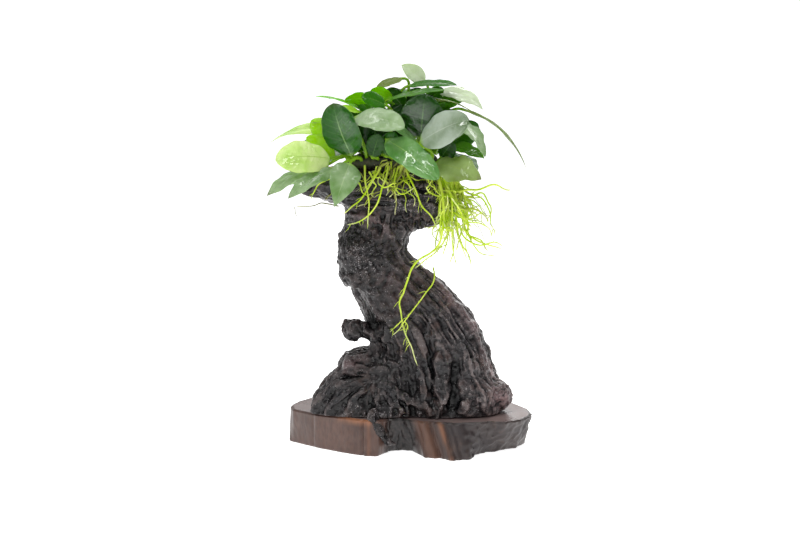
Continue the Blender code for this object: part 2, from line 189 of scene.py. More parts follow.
def add_node(tree, kind, inputs=None, **settings):
    made = tree.nodes.new("ShaderNode" + kind)
    for key, value in settings.items():
        setattr(made, key, value)
    set_inputs(tree, made, inputs or {})
    return made


def maths(tree, operation, *numbers):
    return add_node(tree, "Math", dict(enumerate(numbers)), operation=operation).outputs[0]


def attribute(tree, name):
    return add_node(tree, "Attribute", attribute_name=name, attribute_type="GEOMETRY").outputs["Fac"]


def place(tree, stretch=(1, 1, 1)):
    """Object coordinates, stretched."""
    where = add_node(tree, "TexCoord").outputs["Object"]
    return add_node(tree, "Mapping", {"Vector": where, "Scale": stretch}).outputs["Vector"]


def cloud(tree, where, scale, detail=3.0, roughness=0.55):
    """A noise from 0 to 1."""
    inputs = {"Vector": where, "Scale": scale, "Detail": detail, "Roughness": roughness}
    return add_node(tree, "TexNoise", inputs).outputs["Fac"]


def between(tree, number, low, high, out_low=0.0, out_high=1.0):
    """number, taken from low..high to out_low..out_high and held there."""
    inputs = {"Value": number, "From Min": low, "From Max": high, "To Min": out_low, "To Max": out_high}
    return add_node(tree, "MapRange", inputs, interpolation_type="SMOOTHSTEP").outputs["Result"]


def blend(tree, share, first, second, how="MIX"):
    """Two colours, mixed by share."""
    return add_node(tree, "Mix", {0: share, 6: first, 7: second}, data_type="RGBA", blend_type=how).outputs[2]


def bump(tree, height, distance, strength=1.0):
    inputs = {"Height": height, "Distance": distance, "Strength": strength}
    return add_node(tree, "Bump", inputs).outputs["Normal"]


# ---------------------------------------------------------------- the driftwood

WOOD_NODES = ("wood_trunk", "wood_arm_left", "wood_arm_right", "wood_stub", "wood_knee")
WOOD_VOXEL = 0.79
WOOD_SWELL = 0.3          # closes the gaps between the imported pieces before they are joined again
WOOD_SMOOTHING = 2
CAVITY_ROUNDS = 9         # how far round each point its hollows and crests are judged
RIDGE_SIDES = 14
# Where the driftwood is parted: a point on the cut, the branch's direction there, and the block's size.
FORKS = {
    "wood_arm_left": ((-40, 0, 184), (-1, 0, 0.15), (60, 90, 44)),
    "wood_arm_right": ((15, 0, 176), (1, 0, -0.1), (60, 90, 56)),
    "wood_stub": ((-26, -14, 84), (-1, 0, 0), (40, 44, 16)),
    "wood_knee": ((-9, 0, 45), (-1, 0, 0), (110, 110, 62)),
}
# The trunk's middle line, along which its grain runs: height, middle, half width.
TRUNK_LINE = [
    (25, 32, 40), (45, 30.5, 39.5), (59, 27, 38), (74, 22.5, 37.5), (88, 14.5, 38.5), (102, 6.5, 35.5),
    (113, -2.5, 33.5), (123, -10.5, 30.5), (131, -16.5, 26.5), (139, -19.5, 23.5), (155, -14.5, 24.5),
    (184, -11.5, 23.5),
]
# Ridges and roots that stand out of the wood: radius, how deep the middle lies under the surface,
# and points near the surface.
RIDGES = [
    # the smooth ridge down the back of the trunk, and the one beside it
    (4.8, 2.0, [(11, -9, 136), (18, -10, 128), (28, -14, 115), (39, -15, 100), (49, -16, 84), (56, -16, 68),
                (62, -15, 52)]),
    (3.2, 1.2, [(10, -26, 121), (22, -28, 106), (32, -30, 92), (41, -31, 77), (47, -30, 62), (50, -29, 50)]),
    (2.6, 1.0, [(2, -28, 116), (13, -31, 101), (22, -33, 88), (31, -34, 76)]),
    (2.4, 0.8, [(-6, -28, 112), (3, -31, 98), (11, -33, 85), (17, -34, 72), (19, -35, 58)]),
    # the upright mass in the middle, down to the slab
    (8.5, 4.5, [(25, -30, 84), (29, -34, 70), (31, -35, 54), (30, -35, 40), (27, -35, 30)]),
    (5.0, 2.5, [(12, -34, 74), (14, -35, 60), (14, -36, 46), (17, -36, 36)]),
    # the hip and its foot
    (9.0, 4.0, [(48, -28, 52), (54, -26, 40), (57, -25, 31)]),
    (7.0, 3.0, [(40, -34, 38), (47, -33, 31)]),
    # the ledge over the knee and the roots that spread from it
    (5.0, 2.6, [(-42, -14, 58), (-32, -20, 66), (-20, -24, 73), (-10, -26, 78)]),
    (3.6, 1.4, [(-44, -25, 56), (-32, -30, 59), (-18, -33, 61), (-4, -34, 62)]),
    (4.6, 1.6, [(-15, -34, 51), (-4, -36, 45), (8, -37, 38), (19, -38, 31), (27, -37, 27)]),
    (2.8, 1.0, [(-16, -34, 47), (-8, -37, 39), (0, -38, 32), (5, -38, 27)]),
    (2.8, 1.0, [(-19, -34, 49), (-17, -36, 40), (-15, -37, 32), (-14, -37, 27)]),
    (3.0, 1.0, [(-22, -33, 50), (-29, -34, 42), (-34, -33, 34), (-38, -32, 27)]),
    (2.8, 1.0, [(-24, -32, 52), (-35, -31, 44), (-45, -29, 35), (-52, -27, 27)]),
    (3.0, 1.0, [(-28, -31, 55), (-42, -27, 49), (-53, -23, 39), (-60, -20, 29)]),
    # the tongue of root that drops over the slab's front edge
    (3.5, -0.2, [(-21, -27, 34), (-19, -34, 30), (-17.5, -38.5, 25.5), (-15.5, -40, 20), (-12.5, -39.5, 14),
                 (-8, -37.5, 9.5), (-3, -36, 8)]),
    # the head: its rim on the right, its crest and its jaw
    (3.0, 1.2, [(-24, -27, 165), (-15, -30, 160), (-6, -30, 152), (1, -27, 144), (6, -22, 135)]),
    (3.6, 1.6, [(-40, -16, 158), (-43, -13, 146), (-44, -12, 134), (-42, -12, 124), (-36, -13, 116)]),
    (3.0, 1.2, [(-36, -16, 117), (-29, -22, 113), (-21, -26, 111), (-12, -28, 112)]),
    (3.4, 1.4, [(-24, -20, 108), (-19, -26, 99), (-14, -29, 90)]),
    # bands round the neck and under the crown
    (2.8, 0.8, [(-36, -18, 173), (-26, -25, 172), (-14, -29, 169), (-2, -30, 167)]),
    (2.4, 0.8, [(-36, -18, 165), (-25, -26, 164.5), (-12, -29, 161)]),
    (3.2, 1.0, [(-50, -20, 178), (-38, -25, 178), (-24, -28, 177), (-8, -30, 176), (8, -30, 173)]),
    (4.2, 1.6, [(4, -30, 163), (14, -29, 160), (23, -25, 162), (29, -18, 168)]),
    # an eye-like knot under the right arm
    (1.4, -0.2, [(12, -30, 182), (15, -30, 185), (20, -30, 185.5), (24, -29, 182.5), (21, -30, 179.5),
                 (15, -30, 179), (12, -30, 182)]),
    # the far side
    (5.0, 2.4, [(-10, 20, 140), (2, 22, 124), (14, 25, 108), (26, 27, 92), (34, 29, 74), (38, 30, 52),
                (38, 31, 30)]),
    (4.2, 1.8, [(-24, 20, 136), (-16, 23, 120), (-6, 25, 104), (4, 27, 88), (12, 29, 70), (16, 30, 50),
                (14, 31, 28)]),
    (5.0, 2.4, [(10, 14, 132), (26, 18, 114), (40, 20, 96), (50, 20, 78), (57, 20, 58), (60, 20, 30)]),
    (4.4, 2.0, [(-38, 10, 150), (-41, 8, 136), (-37, 12, 122), (-28, 18, 108), (-18, 22, 92), (-10, 26, 76)]),
    (4.0, 1.6, [(-8, 28, 70), (-22, 26, 60), (-38, 20, 48), (-52, 10, 32)]),
    (3.4, 1.2, [(-4, 29, 56), (-18, 28, 44), (-32, 24, 28)]),
    (3.4, 1.0, [(-44, 20, 176), (-28, 24, 174), (-8, 27, 170), (12, 27, 166)]),
]
# Lumps: middle and radii.
LUMPS = [
    ((-24, -13, 137), (19.5, 16.5, 21)), ((-30, -12, 121), (11, 14, 10)),
    ((-35.5, -12, 116.5), (4.5, 7, 4.5)),
    ((22, -17, 171), (12, 12, 13)), ((31, -8, 178), (9, 12, 11)), ((-31.8, -14.5, 84.3), (7.4, 7.6, 7.4)),
    ((-24, -15, 85), (6.5, 6.5, 6.2)),
    ((66, -12, 36.5), (12.3, 13.2, 11.8)), ((60, -20, 30), (9, 10, 8)), ((-35, -20, 60.5), (5, 7, 5)),
    ((11, -19, 158.5), (7, 7, 5.5)),
    ((52, 16, 36), (16, 17, 14)), ((-20, 14, 140), (17, 12, 16)),
]
# Cracks and hollows: half width, depth, and points near the surface.
GROOVES = [
    (1.5, 3.4, [(22, -20, 119), (33, -23, 103), (43, -24, 88), (50, -24, 72), (55, -24, 56)]),
    (1.3, 2.6, [(14, -30, 100), (20, -32, 91), (24, -33, 82)]),
    (1.2, 2.4, [(29, -32, 94), (37, -32, 82), (41, -31, 72)]),
    (1.1, 2.2, [(5, -31, 104), (12, -33, 92), (17, -34, 80)]),
    (1.1, 2.2, [(38, -30, 98), (46, -28, 84), (52, -26, 70)]),
    (4.4, 4.2, [(39, -33, 62), (37, -34, 50), (38.5, -34, 40), (35, -34, 29)]),
    (1.8, 3.2, [(20, -34, 80), (21, -35, 66), (22, -36, 52), (22, -36, 40)]),
    (1.6, 3.0, [(7, -34, 76), (8, -35, 62), (9, -36, 50)]),
    (1.4, 3.4, [(-30, -30, 56), (-18, -33, 55.5), (-6, -35, 55.5), (1, -35, 57)]),
    (1.2, 2.2, [(-45, -24, 52), (-36, -28, 54), (-28, -30, 56)]),
    (4.0, 3.6, [(-18, -24, 88), (-9, -29, 83)]),
    (4.0, 2.0, [(-31, -16, 73.5), (-23, -17, 74.5), (-18, -22, 76)]),
    (6.0, 2.4, [(-48, -16, 62), (-42, -18, 68)]),
    (7.0, 2.6, [(-32, -18, 106), (-29, -18, 98), (-27, -18, 92)]),
    (5.0, 3.6, [(-34, -14, 108), (-32, -14, 102)]),
    (7.0, 3.0, [(-64, -16, 180), (-54, -18, 175), (-44, -18, 171)]),
    (2.6, 4.4, [(-16, -28, 157), (-9, -30, 148), (-6, -31, 138), (-8, -31, 126), (-15, -30, 115)]),
    (1.6, 3.0, [(-30, -24, 109), (-22, -28, 106), (-14, -30, 105)]),
    (4.6, 4.6, [(-36, -20, 106), (-39, -8, 106.5), (-39, 6, 106), (-34, 16, 105)]),
    (1.6, 3.0, [(-38, -18, 168.5), (-24, -26, 168), (-8, -30, 164.5), (4, -30, 164)]),
    (2.0, 3.6, [(3, -31, 157), (12, -30, 155.5), (20, -26, 156)]),
    (1.4, 3.0, [(15, -31, 182.3), (18, -31, 182.6), (21, -30, 182.2)]),
    (1.4, 2.6, [(-2, -31, 190), (0, -32, 180), (4, -32, 171)]),
    (2.2, 3.4, [(-18, 24, 128), (-8, 27, 112), (2, 29, 96), (9, 30, 78)]),
    (2.0, 3.2, [(6, 24, 124), (18, 27, 106), (29, 29, 88), (35, 30, 66)]),
    (2.0, 3.2, [(34, 24, 96), (45, 24, 78), (50, 25, 54), (52, 26, 34)]),
    (2.0, 3.0, [(-14, 29, 62), (-28, 25, 50), (-42, 18, 36)]),
    (1.8, 3.0, [(-36, 17, 140), (-33, 19, 124), (-24, 23, 108)]),
]
# Where the bark is worn off and the wood is smooth and mauve brown: reach, and points near the surface.
WORN = [
    (4.0, [(-32, -22, 167), (-20, -29, 163), (-11, -30, 156), (-3, -29, 148), (3, -25, 141)]),
    (6.5, [(-1, -30, 141), (5, -27, 133), (9, -24, 127)]),
    (5.5, [(-30, -20, 108), (-25, -24, 99), (-20, -28, 92)]),
    (5.5, [(17, -10, 129), (30, -14, 115), (41, -14, 100), (51, -14, 84), (58, -14, 68), (64, -14, 52)]),
    (6.0, [(-46, -22, 56), (-34, -27, 65), (-22, -28, 73)]),
    (11.0, [(66, -20, 37), (71, -8, 40)]),
    (8.0, [(-8, -31, 120), (-1, -32, 108)]),
    (8.0, [(6, 24, 130), (24, 29, 104), (38, 30, 76)]),
    (7.0, [(-30, 16, 110), (-22, 24, 92)]),
    (8.0, [(24, 14, 168), (4, 26, 172)]),
]
# Where pale flecks are painted, partly worn bark and partly painted glints of the wet surface: reach, and
# points near the surface.
FLECKED_AND_GLINTING = [
    (4.5, [(-16, -30, 160), (-6, -31, 152), (3, -27, 142), (7, -22, 136)]),
    (8.0, [(20, -26, 172), (6, -31, 170), (-2, -32, 176)]),
    (9.0, [(44, -34, 40), (52, -30, 32), (62, -26, 30)]),
    (6.0, [(30, -22, 112), (42, -23, 96), (52, -24, 76), (58, -22, 56)]),
    (6.5, [(66, -22, 40), (74, -12, 40)]),
    (7.0, [(-38, -24, 30), (-28, -32, 32), (-16, -36, 30), (10, -37, 28)]),
    (6.0, [(-40, -22, 62), (-26, -26, 74)]),
    (9.0, [(-28, -26, 140), (-22, -28, 128)]),
    (10.0, [(30, 26, 90), (44, 24, 60)]),
]
# Parts of the driftwood with a surface of their own.
HEAD, HIP, CHEST = (-26, -10, 136), (58, -14, 36), (-8, -28, 104)
KNEE_X, KNEE_Z = -15, 54  # the knee's roots fan out from here, seen from the front
BARE_SOLE = (24.6, 27.5)  # heights over which the relief fades, where the wood stands on the slab
# How light each part of the wood is: middle, reach, and the change in lightness.
WOOD_TONES = [
    ((-27, -20, 136), 22, -0.65), ((-28, -28, 42), 26, -0.2), ((68, -16, 38), 14, 1.7),
    ((44, -20, 92), 26, 0.9), ((-8, -30, 106), 18, -0.45), ((50, -30, 40), 20, 1.1),
    # The entry at (37, -34, 44) darkens the hollow between the upright mass and the hip: painted shade.
    ((20, -24, 176), 18, -0.15), ((-36, -14, 82), 10, -0.35), ((37, -34, 44), 9, -0.3),
    ((30, 24, 80), 40, 0.1), ((-40, 14, 44), 24, -0.2),
]


def outer_shape(nodes, swell):
    """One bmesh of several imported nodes, each grown outwards by swell millimetres."""
    whole = bmesh.new()
    for name in nodes:
        bm = bmesh.new()
        bm.from_mesh(NODES[name].data)
        bmesh.ops.remove_doubles(bm, verts=bm.verts, dist=0.01 * MM)
        bm.normal_update()
        shifts = [vert.normal * swell * MM for vert in bm.verts]
        for vert, shift in zip(bm.verts, shifts):
            vert.co += shift
        mesh = bpy.data.meshes.new("grown")
        bm.to_mesh(mesh)
        bm.free()
        whole.from_mesh(mesh)
    return whole


def ridge_rings(surface, radius, depth, points):
    """A round root along a few points, thin at both ends. It is drawn onto the surface, or with a depth
    below zero hangs free of it."""
    count = 6 * len(points)
    line = []
    for point in smooth_line([mm(p) for p in points], count):
        nearest, normal, _, _ = surface.find_nearest(point)
        line.append((nearest if depth >= 0 else point) - normal * depth * MM)
    rings = []
    turns = [2 * math.pi * k / RIDGE_SIDES for k in range(RIDGE_SIDES)]
    frames = carried_frames(tangents(line), Vector((0.3, 0.5, 0.8)))
    for i, (centre, (side, up)) in enumerate(zip(line, frames)):
        share = math.sin(math.pi * (i + 0.6) / (count + 0.2)) ** 0.35
        wander = 1 + 0.14 * noise.noise(centre * 190)
        rings.append([centre + (side * math.cos(a) + up * math.sin(a)) * radius * MM * share * wander
                      for a in turns])
    return rings


def voxel_mesh(bm, size):
    """The outer skin of overlapping shapes, as one even mesh."""
    mesh = bpy.data.meshes.new("source")
    bm.to_mesh(mesh)
    bm.free()
    obj = bpy.data.objects.new("source", mesh)
    bpy.context.scene.collection.objects.link(obj)
    modifier = obj.modifiers.new("voxels", "REMESH")
    modifier.mode = "VOXEL"
    modifier.voxel_size = size * MM
    bpy.context.view_layer.update()
    made = bpy.data.meshes.new_from_object(obj.evaluated_get(bpy.context.evaluated_depsgraph_get()))
    bpy.data.objects.remove(obj, do_unlink=True)
    return made


def read_points(mesh):
    points = np.empty(len(mesh.vertices) * 3, np.float32)
    mesh.vertices.foreach_get("co", points)
    return points.reshape(-1, 3).astype(float) / MM


def read_normals(mesh):
    normals = np.empty(len(mesh.vertices) * 3, np.float32)
    mesh.vertex_normals.foreach_get("vector", normals)
    return normals.reshape(-1, 3).astype(float)


def write_points(mesh, points):
    mesh.vertices.foreach_set("co", (points * MM).astype(np.float32).ravel())
    mesh.update()


def relaxed(mesh, points, rounds):
    """The points moved towards the middle of their neighbours, so that joined shapes flow together."""
    ends = np.empty(len(mesh.edges) * 2, np.int32)
    mesh.edges.foreach_get("vertices", ends)
    ends = ends.reshape(-1, 2)
    both = np.concatenate([ends, ends[:, ::-1]])
    degree = np.bincount(both[:, 0], minlength=len(points))[:, None]
    for _ in range(rounds):
        total = np.stack([np.bincount(both[:, 0], weights=points[both[:, 1], axis], minlength=len(points))
                          for axis in range(3)], axis=1)
        points = points * 0.5 + total / degree * 0.5
    return points


def distance_to_line(points, line):
    """How far each point is from a line of points."""
    nearest = np.full(len(points), 1e9)
    for start, end in zip(line, line[1:]):
        start, way = np.array(start, float), np.array(end, float) - np.array(start, float)
        share = np.clip(((points - start) @ way) / max(way @ way, 1e-9), 0, 1)[:, None]
        nearest = np.minimum(nearest, np.linalg.norm(points - start - way * share, axis=1))
    return nearest


def perlin(places):
    return np.array([noise.noise(p) for p in places.tolist()])


def fractal(places, octaves):
    return np.array([noise.fractal(p, 0.8, 2.1, octaves) for p in places.tolist()])


def cells(places):
    """How far each place is from the nearest of many scattered points, and from the second nearest."""
    found = [noise.voronoi(p)[0] for p in places.tolist()]
    return np.array([d[0] for d in found]), np.array([d[1] for d in found])


def crest(values):
    """A noise folded into sharp crests: 1 on a crest, falling to 0."""
    return 1 - np.clip(np.abs(values) * 2.4, 0, 1)


def crests(places, shift=0.0):
    """Sharp crests about a level near their mean."""
    return crest(perlin(places + shift)) - 0.4


def grain_places(points):
    """Coordinates in which the trunk's grain is straight: across, through, along."""
    heights, middles, halves = (np.array(column, float) for column in zip(*TRUNK_LINE))
    x, y, z = points.T
    across = (x - np.interp(z, heights, middles)) / np.interp(z, heights, halves) * 36
    return across, y, z


def nearness(points, middle, far, near, shape=(1, 1, 1)):
    """1 inside a part of the wood, falling to 0 as the distance from its middle goes from near to far."""
    return smooth_step(far, near, np.linalg.norm((points - middle) / shape, axis=1))


def wood_relief(points):
    """How far each point of the wood is pushed out, in millimetres, by everything finer than its masses."""
    x, y, z = points.T
    across, through, along = grain_places(points)
    warp = perlin(points / 16) * 3
    knee = smooth_step(0, -14, x) * smooth_step(70, 58, z)
    crown = smooth_step(160, 176, z)
    head = nearness(points, HEAD, 30, 18, (1, 1.2, 1.05))
    hip = nearness(points, HIP, 30, 16)
    chest = nearness(points, CHEST, 26, 12, (1, 1.2, 1.3))
    body = (1 - knee) * (1 - crown) * (1 - head * 0.75) * (1 - chest * 0.55)
    long_grain = np.stack([across + warp, through * 1.1 + warp, along * 0.13], axis=1)
    relief = body * (1.7 * crests(long_grain / 7.5) + 0.5 * crests(long_grain / 3.1, 40))
    turn = np.arctan2(z - KNEE_Z, x - KNEE_X) * 17
    out = np.hypot(x - KNEE_X, z - KNEE_Z)
    spokes = np.stack([turn + warp, y * 0.9, out * 0.16], axis=1)
    fan = knee * smooth_step(5, 16, out)
    relief += fan * (2.4 * crests(spokes / 8.5) + 0.5 * crests(spokes / 3, 9))
    bands = np.stack([x * 0.3, y * 0.5, z + warp], axis=1)
    relief += crown * (1.3 * crests(bands / 6) + 0.4 * crests(bands / 2.8, 21))
    near, second = cells((points + np.stack([warp, -warp, warp], axis=1)) / (4.2, 4.2, 5.4))
    crust = np.clip((second - near) * 2.6, 0, 1)
    rough = perlin(points / 11 + 90)
    right_arm = smooth_step(0, 14, x) * crown
    relief += (0.08 + 0.4 * head + 0.9 * hip + 0.6 * right_arm) * (crust - 0.5) * (0.9 + 1.2 * rough)
    relief += (0.2 + 0.2 * head + 0.4 * hip + 0.4 * right_arm) * fractal(points / 2.6, 3)
    relief += (0.25 + 0.5 * head) * crests(points / 6.2, 55) * (0.7 + rough)
    relief *= 1 - 0.7 * shares_near(points, WORN)
    relief += fractal(points / 13 + 7, 3) * 1.7
    sway = np.stack([perlin(points / 6 + shift) for shift in (3, 17, 31)], axis=1) * 1.6
    for width, depth, line in GROOVES:
        gap = distance_to_line(points + sway, line)
        relief -= depth * np.exp(-(gap / width) ** 2)
    return relief


def wood_tones(points):
    tones = np.ones(len(points))
    for middle, reach, change in WOOD_TONES:
        tones += change * np.exp(-(np.linalg.norm(points - middle, axis=1) / reach) ** 2)
    return tones


def shares_near(points, lines):
    """How much each point belongs to any of several bands, each a reach about a line."""
    shares = np.zeros(len(points))
    for reach, line in lines:
        shares = np.maximum(shares, np.exp(-(distance_to_line(points, line) / reach) ** 2))
    return shares


def set_values(mesh, name, values):
    made = mesh.attributes.new(name, "FLOAT", "POINT")
    made.data.foreach_set("value", values.astype(np.float32))


def fork_block(name):
    """A block whose near face is the cut at a fork and which holds the branch beyond it."""
    point, way, (reach, depth, height) = FORKS[name]
    way = Vector(way).normalized()
    turn = way.to_track_quat("X", "Z").to_matrix().to_4x4()
    centre = mm(Vector(point) + way * (reach / 2))
    bm = bmesh.new()
    size = Matrix.Diagonal((*mm((reach, depth, height)), 1))
    bmesh.ops.create_cube(bm, size=1, matrix=Matrix.Translation(centre) @ turn @ size)
    mesh = bpy.data.meshes.new(name + "_block")
    bm.to_mesh(mesh)
    bm.free()
    return mesh


def cut_mesh(mesh, blocks, operation):
    """The mesh inside one block, or outside several."""
    obj = bpy.data.objects.new("cutting", mesh)
    bpy.context.scene.collection.objects.link(obj)
    helpers = [obj]
    for block in blocks:
        cutter = bpy.data.objects.new("block", block)
        bpy.context.scene.collection.objects.link(cutter)
        helpers.append(cutter)
        modifier = obj.modifiers.new("cut", "BOOLEAN")
        modifier.operation, modifier.solver, modifier.object = operation, "MANIFOLD", cutter
    bpy.context.view_layer.update()
    made = bpy.data.meshes.new_from_object(obj.evaluated_get(bpy.context.evaluated_depsgraph_get()))
    for helper in helpers:
        bpy.data.objects.remove(helper, do_unlink=True)
    return made


def driftwood_mesh():
    """The whole driftwood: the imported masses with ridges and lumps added, then its bark and grain."""
    bm = outer_shape(WOOD_NODES, WOOD_SWELL)
    surface = BVHTree.FromBMesh(bm)
    added = Skin()
    for radius, depth, points in RIDGES:
        added.add_rings(ridge_rings(surface, radius, depth, points), {})
    mesh = bpy.data.meshes.new("ridges")
    mesh.from_pydata([tuple(p) for p in added.points], [], added.faces)
    bm.from_mesh(mesh)
    for middle, radii in LUMPS:
        placing = Matrix.Translation(mm(middle)) @ Matrix.Diagonal((*mm(radii), 1))
        bmesh.ops.create_icosphere(bm, subdivisions=4, radius=1, matrix=placing)
    bmesh.ops.recalc_face_normals(bm, faces=bm.faces)
    mesh = voxel_mesh(bm, WOOD_VOXEL)
    write_points(mesh, relaxed(mesh, read_points(mesh), WOOD_SMOOTHING))
    points, normals = read_points(mesh), read_normals(mesh)
    relief = wood_relief(points)
    sole = smooth_step(*BARE_SOLE, points[:, 2]) + smooth_step(-33, -36, points[:, 1])
    write_points(mesh, points + normals * (relief * np.clip(sole, 0, 1))[:, None])
    shaped = read_points(mesh)
    # The relief value also holds how far each point stands out of its neighbours; the bark's colour uses it
    # for painted shade in the hollows and a painted highlight on the crests.
    proud = ((shaped - relaxed(mesh, shaped, CAVITY_ROUNDS)) * read_normals(mesh)).sum(axis=1)
    set_values(mesh, "relief", np.clip(0.5 + proud / 1.5 + relief / 16, 0, 1))
    set_values(mesh, "tone", wood_tones(points))
    set_values(mesh, "fleck_and_glint", shares_near(points, FLECKED_AND_GLINTING))
    set_values(mesh, "worn", shares_near(points, WORN))
    return mesh


def wood_material():
    """Wet, nearly black wood, browner on its crests: its hollows are darkened as painted shade and its crests
    made paler as a painted highlight, with pale flecks that are partly worn bark and partly painted glints.
    """
    made, tree, shader, _ = new_material("driftwood_bark")
    where = place(tree)
    relief, tone, worn = attribute(tree, "relief"), attribute(tree, "tone"), attribute(tree, "worn")
    patches = cloud(tree, where, 60, 4)
    fine = cloud(tree, where, 620, 3, 0.6)
    height = maths(tree, "ADD", relief, maths(tree, "MULTIPLY", maths(tree, "SUBTRACT", fine, 0.5), 0.34))
    # Painted shade and highlight: by the relief, the colour runs from near black in the hollows to pale on
    # the crests.
    dark = blend(tree, between(tree, height, 0.14, 0.5), srgb(4, 4, 5), srgb(34, 31, 32))
    painted_shade_and_highlight = blend(tree, between(tree, height, 0.5, 0.92), dark, srgb(84, 76, 75))
    warm = blend(tree, between(tree, patches, 0.5, 0.68, 0, 0.6), painted_shade_and_highlight, srgb(64, 47, 42))
    cool = blend(tree, between(tree, patches, 0.46, 0.32, 0, 0.6), warm, srgb(24, 27, 31))
    kept = blend(tree, between(tree, height, 0.3, 0.55), painted_shade_and_highlight, cool)
    bare = blend(tree, between(tree, patches, 0.35, 0.65), srgb(74, 60, 59), srgb(106, 87, 88))
    # Painted shade: the worn patches are darkened in their hollows too.
    bare = blend(tree, between(tree, height, 0.2, 0.55), srgb(22, 18, 18), bare)
    kept = blend(tree, maths(tree, "MULTIPLY", worn, between(tree, fine, 0.35, 0.6, 0.5, 0.9)), kept, bare)
    toned = blend(tree, 1.0, kept, add_node(tree, "CombineColor", {0: tone, 1: tone, 2: tone}).outputs[0],
                  "MULTIPLY")
    # Pale flecks on the crests: partly worn bark and partly painted glints of the wet surface.
    fleck_glint_noise = cloud(tree, where, 1150, 2, 0.5)
    level = maths(tree, "ADD", fleck_glint_noise, maths(tree, "MULTIPLY", attribute(tree, "fleck_and_glint"), 0.085))
    painted_glints_and_flecks = maths(tree, "MULTIPLY", between(tree, level, 0.655, 0.7), between(tree, relief, 0.42, 0.6))
    set_inputs(tree, shader, {
        "Base Color": blend(tree, maths(tree, "MULTIPLY", painted_glints_and_flecks, 0.6), toned, srgb(170, 164, 166)),
        "Roughness": between(tree, cloud(tree, where, 240, 2), 0.35, 0.65, 0.16, 0.42),
        "Specular IOR Level": 0.32,
        "Normal": bump(tree, height, 0.8 * MM, 0.8)})
    return made


def make_driftwood():
    whole = driftwood_mesh()
    blocks = {name: fork_block(name) for name in FORKS}
    pieces = {name: cut_mesh(whole.copy(), [block], "INTERSECT") for name, block in blocks.items()}
    pieces["wood_trunk"] = cut_mesh(whole, list(blocks.values()), "DIFFERENCE")
    shader = wood_material()
    for name, mesh in pieces.items():
        piece = finished_object("driftwood_" + name.removeprefix("wood_"), mesh, shader)
        mesh.set_sharp_from_angle(angle=math.radians(62))
        stand_for(piece, "driftwood", name)
    return BVHTree.FromPolygons(*whole_surface(pieces))


def whole_surface(pieces):
    """All points and faces of several meshes, to find the wood's surface by."""
    points, faces = [], []
    for mesh in pieces.values():
        first = len(points)
        points.extend(vert.co.copy() for vert in mesh.vertices)
        faces.extend([first + index for index in polygon.vertices] for polygon in mesh.polygons)
    return points, faces


# ---------------------------------------------------------------- the slab

SLAB_THICKNESS = 25.0
SLAB_STEP = 0.85          # how far apart the slab's points lie
SLAB_SWELL = 0.9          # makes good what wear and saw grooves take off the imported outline
# Outlines of the slab, anticlockwise from its left corner: (x, y) underneath and (x, y) on top.
SLAB_OUTLINE = [
    ((-78, 4), (-77, 8)), ((-74, 0), (-75, -5)), ((-56, -18), (-58, -21)), ((-38, -32), (-38, -31)),
    ((-24, -41), (-24, -39)), ((-16, -42), (-15, -41)), ((-8, -27), (-8, -36)), ((1, -23), (1, -35)),
    ((9, -26), (8, -40)), ((17, -46), (17, -44)), ((27, -48), (29, -47)), ((37, -55), (38, -49)),
    ((46, -51), (49, -47)), ((55, -33), (61, -44)), ((69, -25), (73, -46)), ((80, -18), (84, -37)),
    ((87, -5), (91, -21)), ((88, 8), (90, -3)), ((82, 24), (83, 12)), ((74, 36), (74, 30)),
    ((56, 48), (56, 46)), ((30, 53), (30, 51)), ((2, 50), (2, 49)), ((-24, 54), (-24, 53)),
    ((-46, 49), (-46, 47)), ((-64, 38), (-63, 37)), ((-74, 22), (-73, 22)),
]
BARK_INLETS = [((0, -32), 11.5), ((-44, 52), 12), ((66, 42), 10), ((-77, 14), 5)]     # middle, reach
# Grooves that the saw left across the right of the front, which lean: place at the top, width, depth.
SAW_SLANT = 0.32
SAW_GROOVES = [(15, 1.6, 0.9), (19.5, 0.9, 0.7), (27.5, 1.3, 1.7), (30.8, 0.8, 0.8), (38.5, 1.2, 1.2),
               (43, 0.9, 0.6), (52, 1.8, 1.0), (60, 1.2, 0.7), (70, 2.2, 1.0)]
SAW_RIDGES = [(35, 1.8, 0.8), (24, 1.5, 0.6), (47, 2.4, 0.8), (65, 2.4, 0.7)]
SIDE_CRACKS = [(-25.6, 0.8, 1.5), (-60, 0.7, 0.5), (-75, 1.2, 0.7)]       # upright: x, width, depth
TOP_WEAR, SOLE_WEAR = 1.3, 0.6      # how far the top and bottom arrises are worn back
# Where the slab's rings lie: shares of the way out underneath, of the way up the side and of
# the way in on top.
SOLE_RINGS = (0.04, 0.2, 0.45, 0.7, 0.86, 0.95, 0.985)
SIDE_RINGS = (0.0, *np.linspace(0.03, 0.95, 27), 0.975, 0.992, 1.0)
TOP_RINGS = (0.012, 0.03, 0.06, 0.09, 0.13, 0.17, 0.22, 0.27, 0.33, 0.4, 0.5, 0.62, 0.78, 0.95)


def slab_outlines():
    """Matching points round the underside and the top, one for each SLAB_STEP, as (x, y) arrays."""
    under, top = [], []
    for (a, b), (c, d) in zip(SLAB_OUTLINE, SLAB_OUTLINE[1:] + SLAB_OUTLINE[:1]):
        reach = max(math.dist(a, c), math.dist(b, d))
        count = max(2, round(reach / SLAB_STEP))
        for k in range(count):
            share = k / count
            under.append([a[0] + (c[0] - a[0]) * share, a[1] + (c[1] - a[1]) * share])
            top.append([b[0] + (d[0] - b[0]) * share, b[1] + (d[1] - b[1]) * share])
    return rounded_corners(np.array(under)), rounded_corners(np.array(top))


def rounded_corners(outline, rounds=2):
    for _ in range(rounds):
        outline = outline * 0.5 + (np.roll(outline, 1, axis=0) + np.roll(outline, -1, axis=0)) * 0.25
    return outline


def bark_share(x, y):
    """How much of the natural bark there is at a point of the slab's side, from 0 to 1."""
    share = np.zeros(len(x))
    for (cx, cy), reach in BARK_INLETS:
        share = np.maximum(share, smooth_step(reach + 2.5, reach - 2.5, np.hypot(x - cx, y - cy)))
    return share


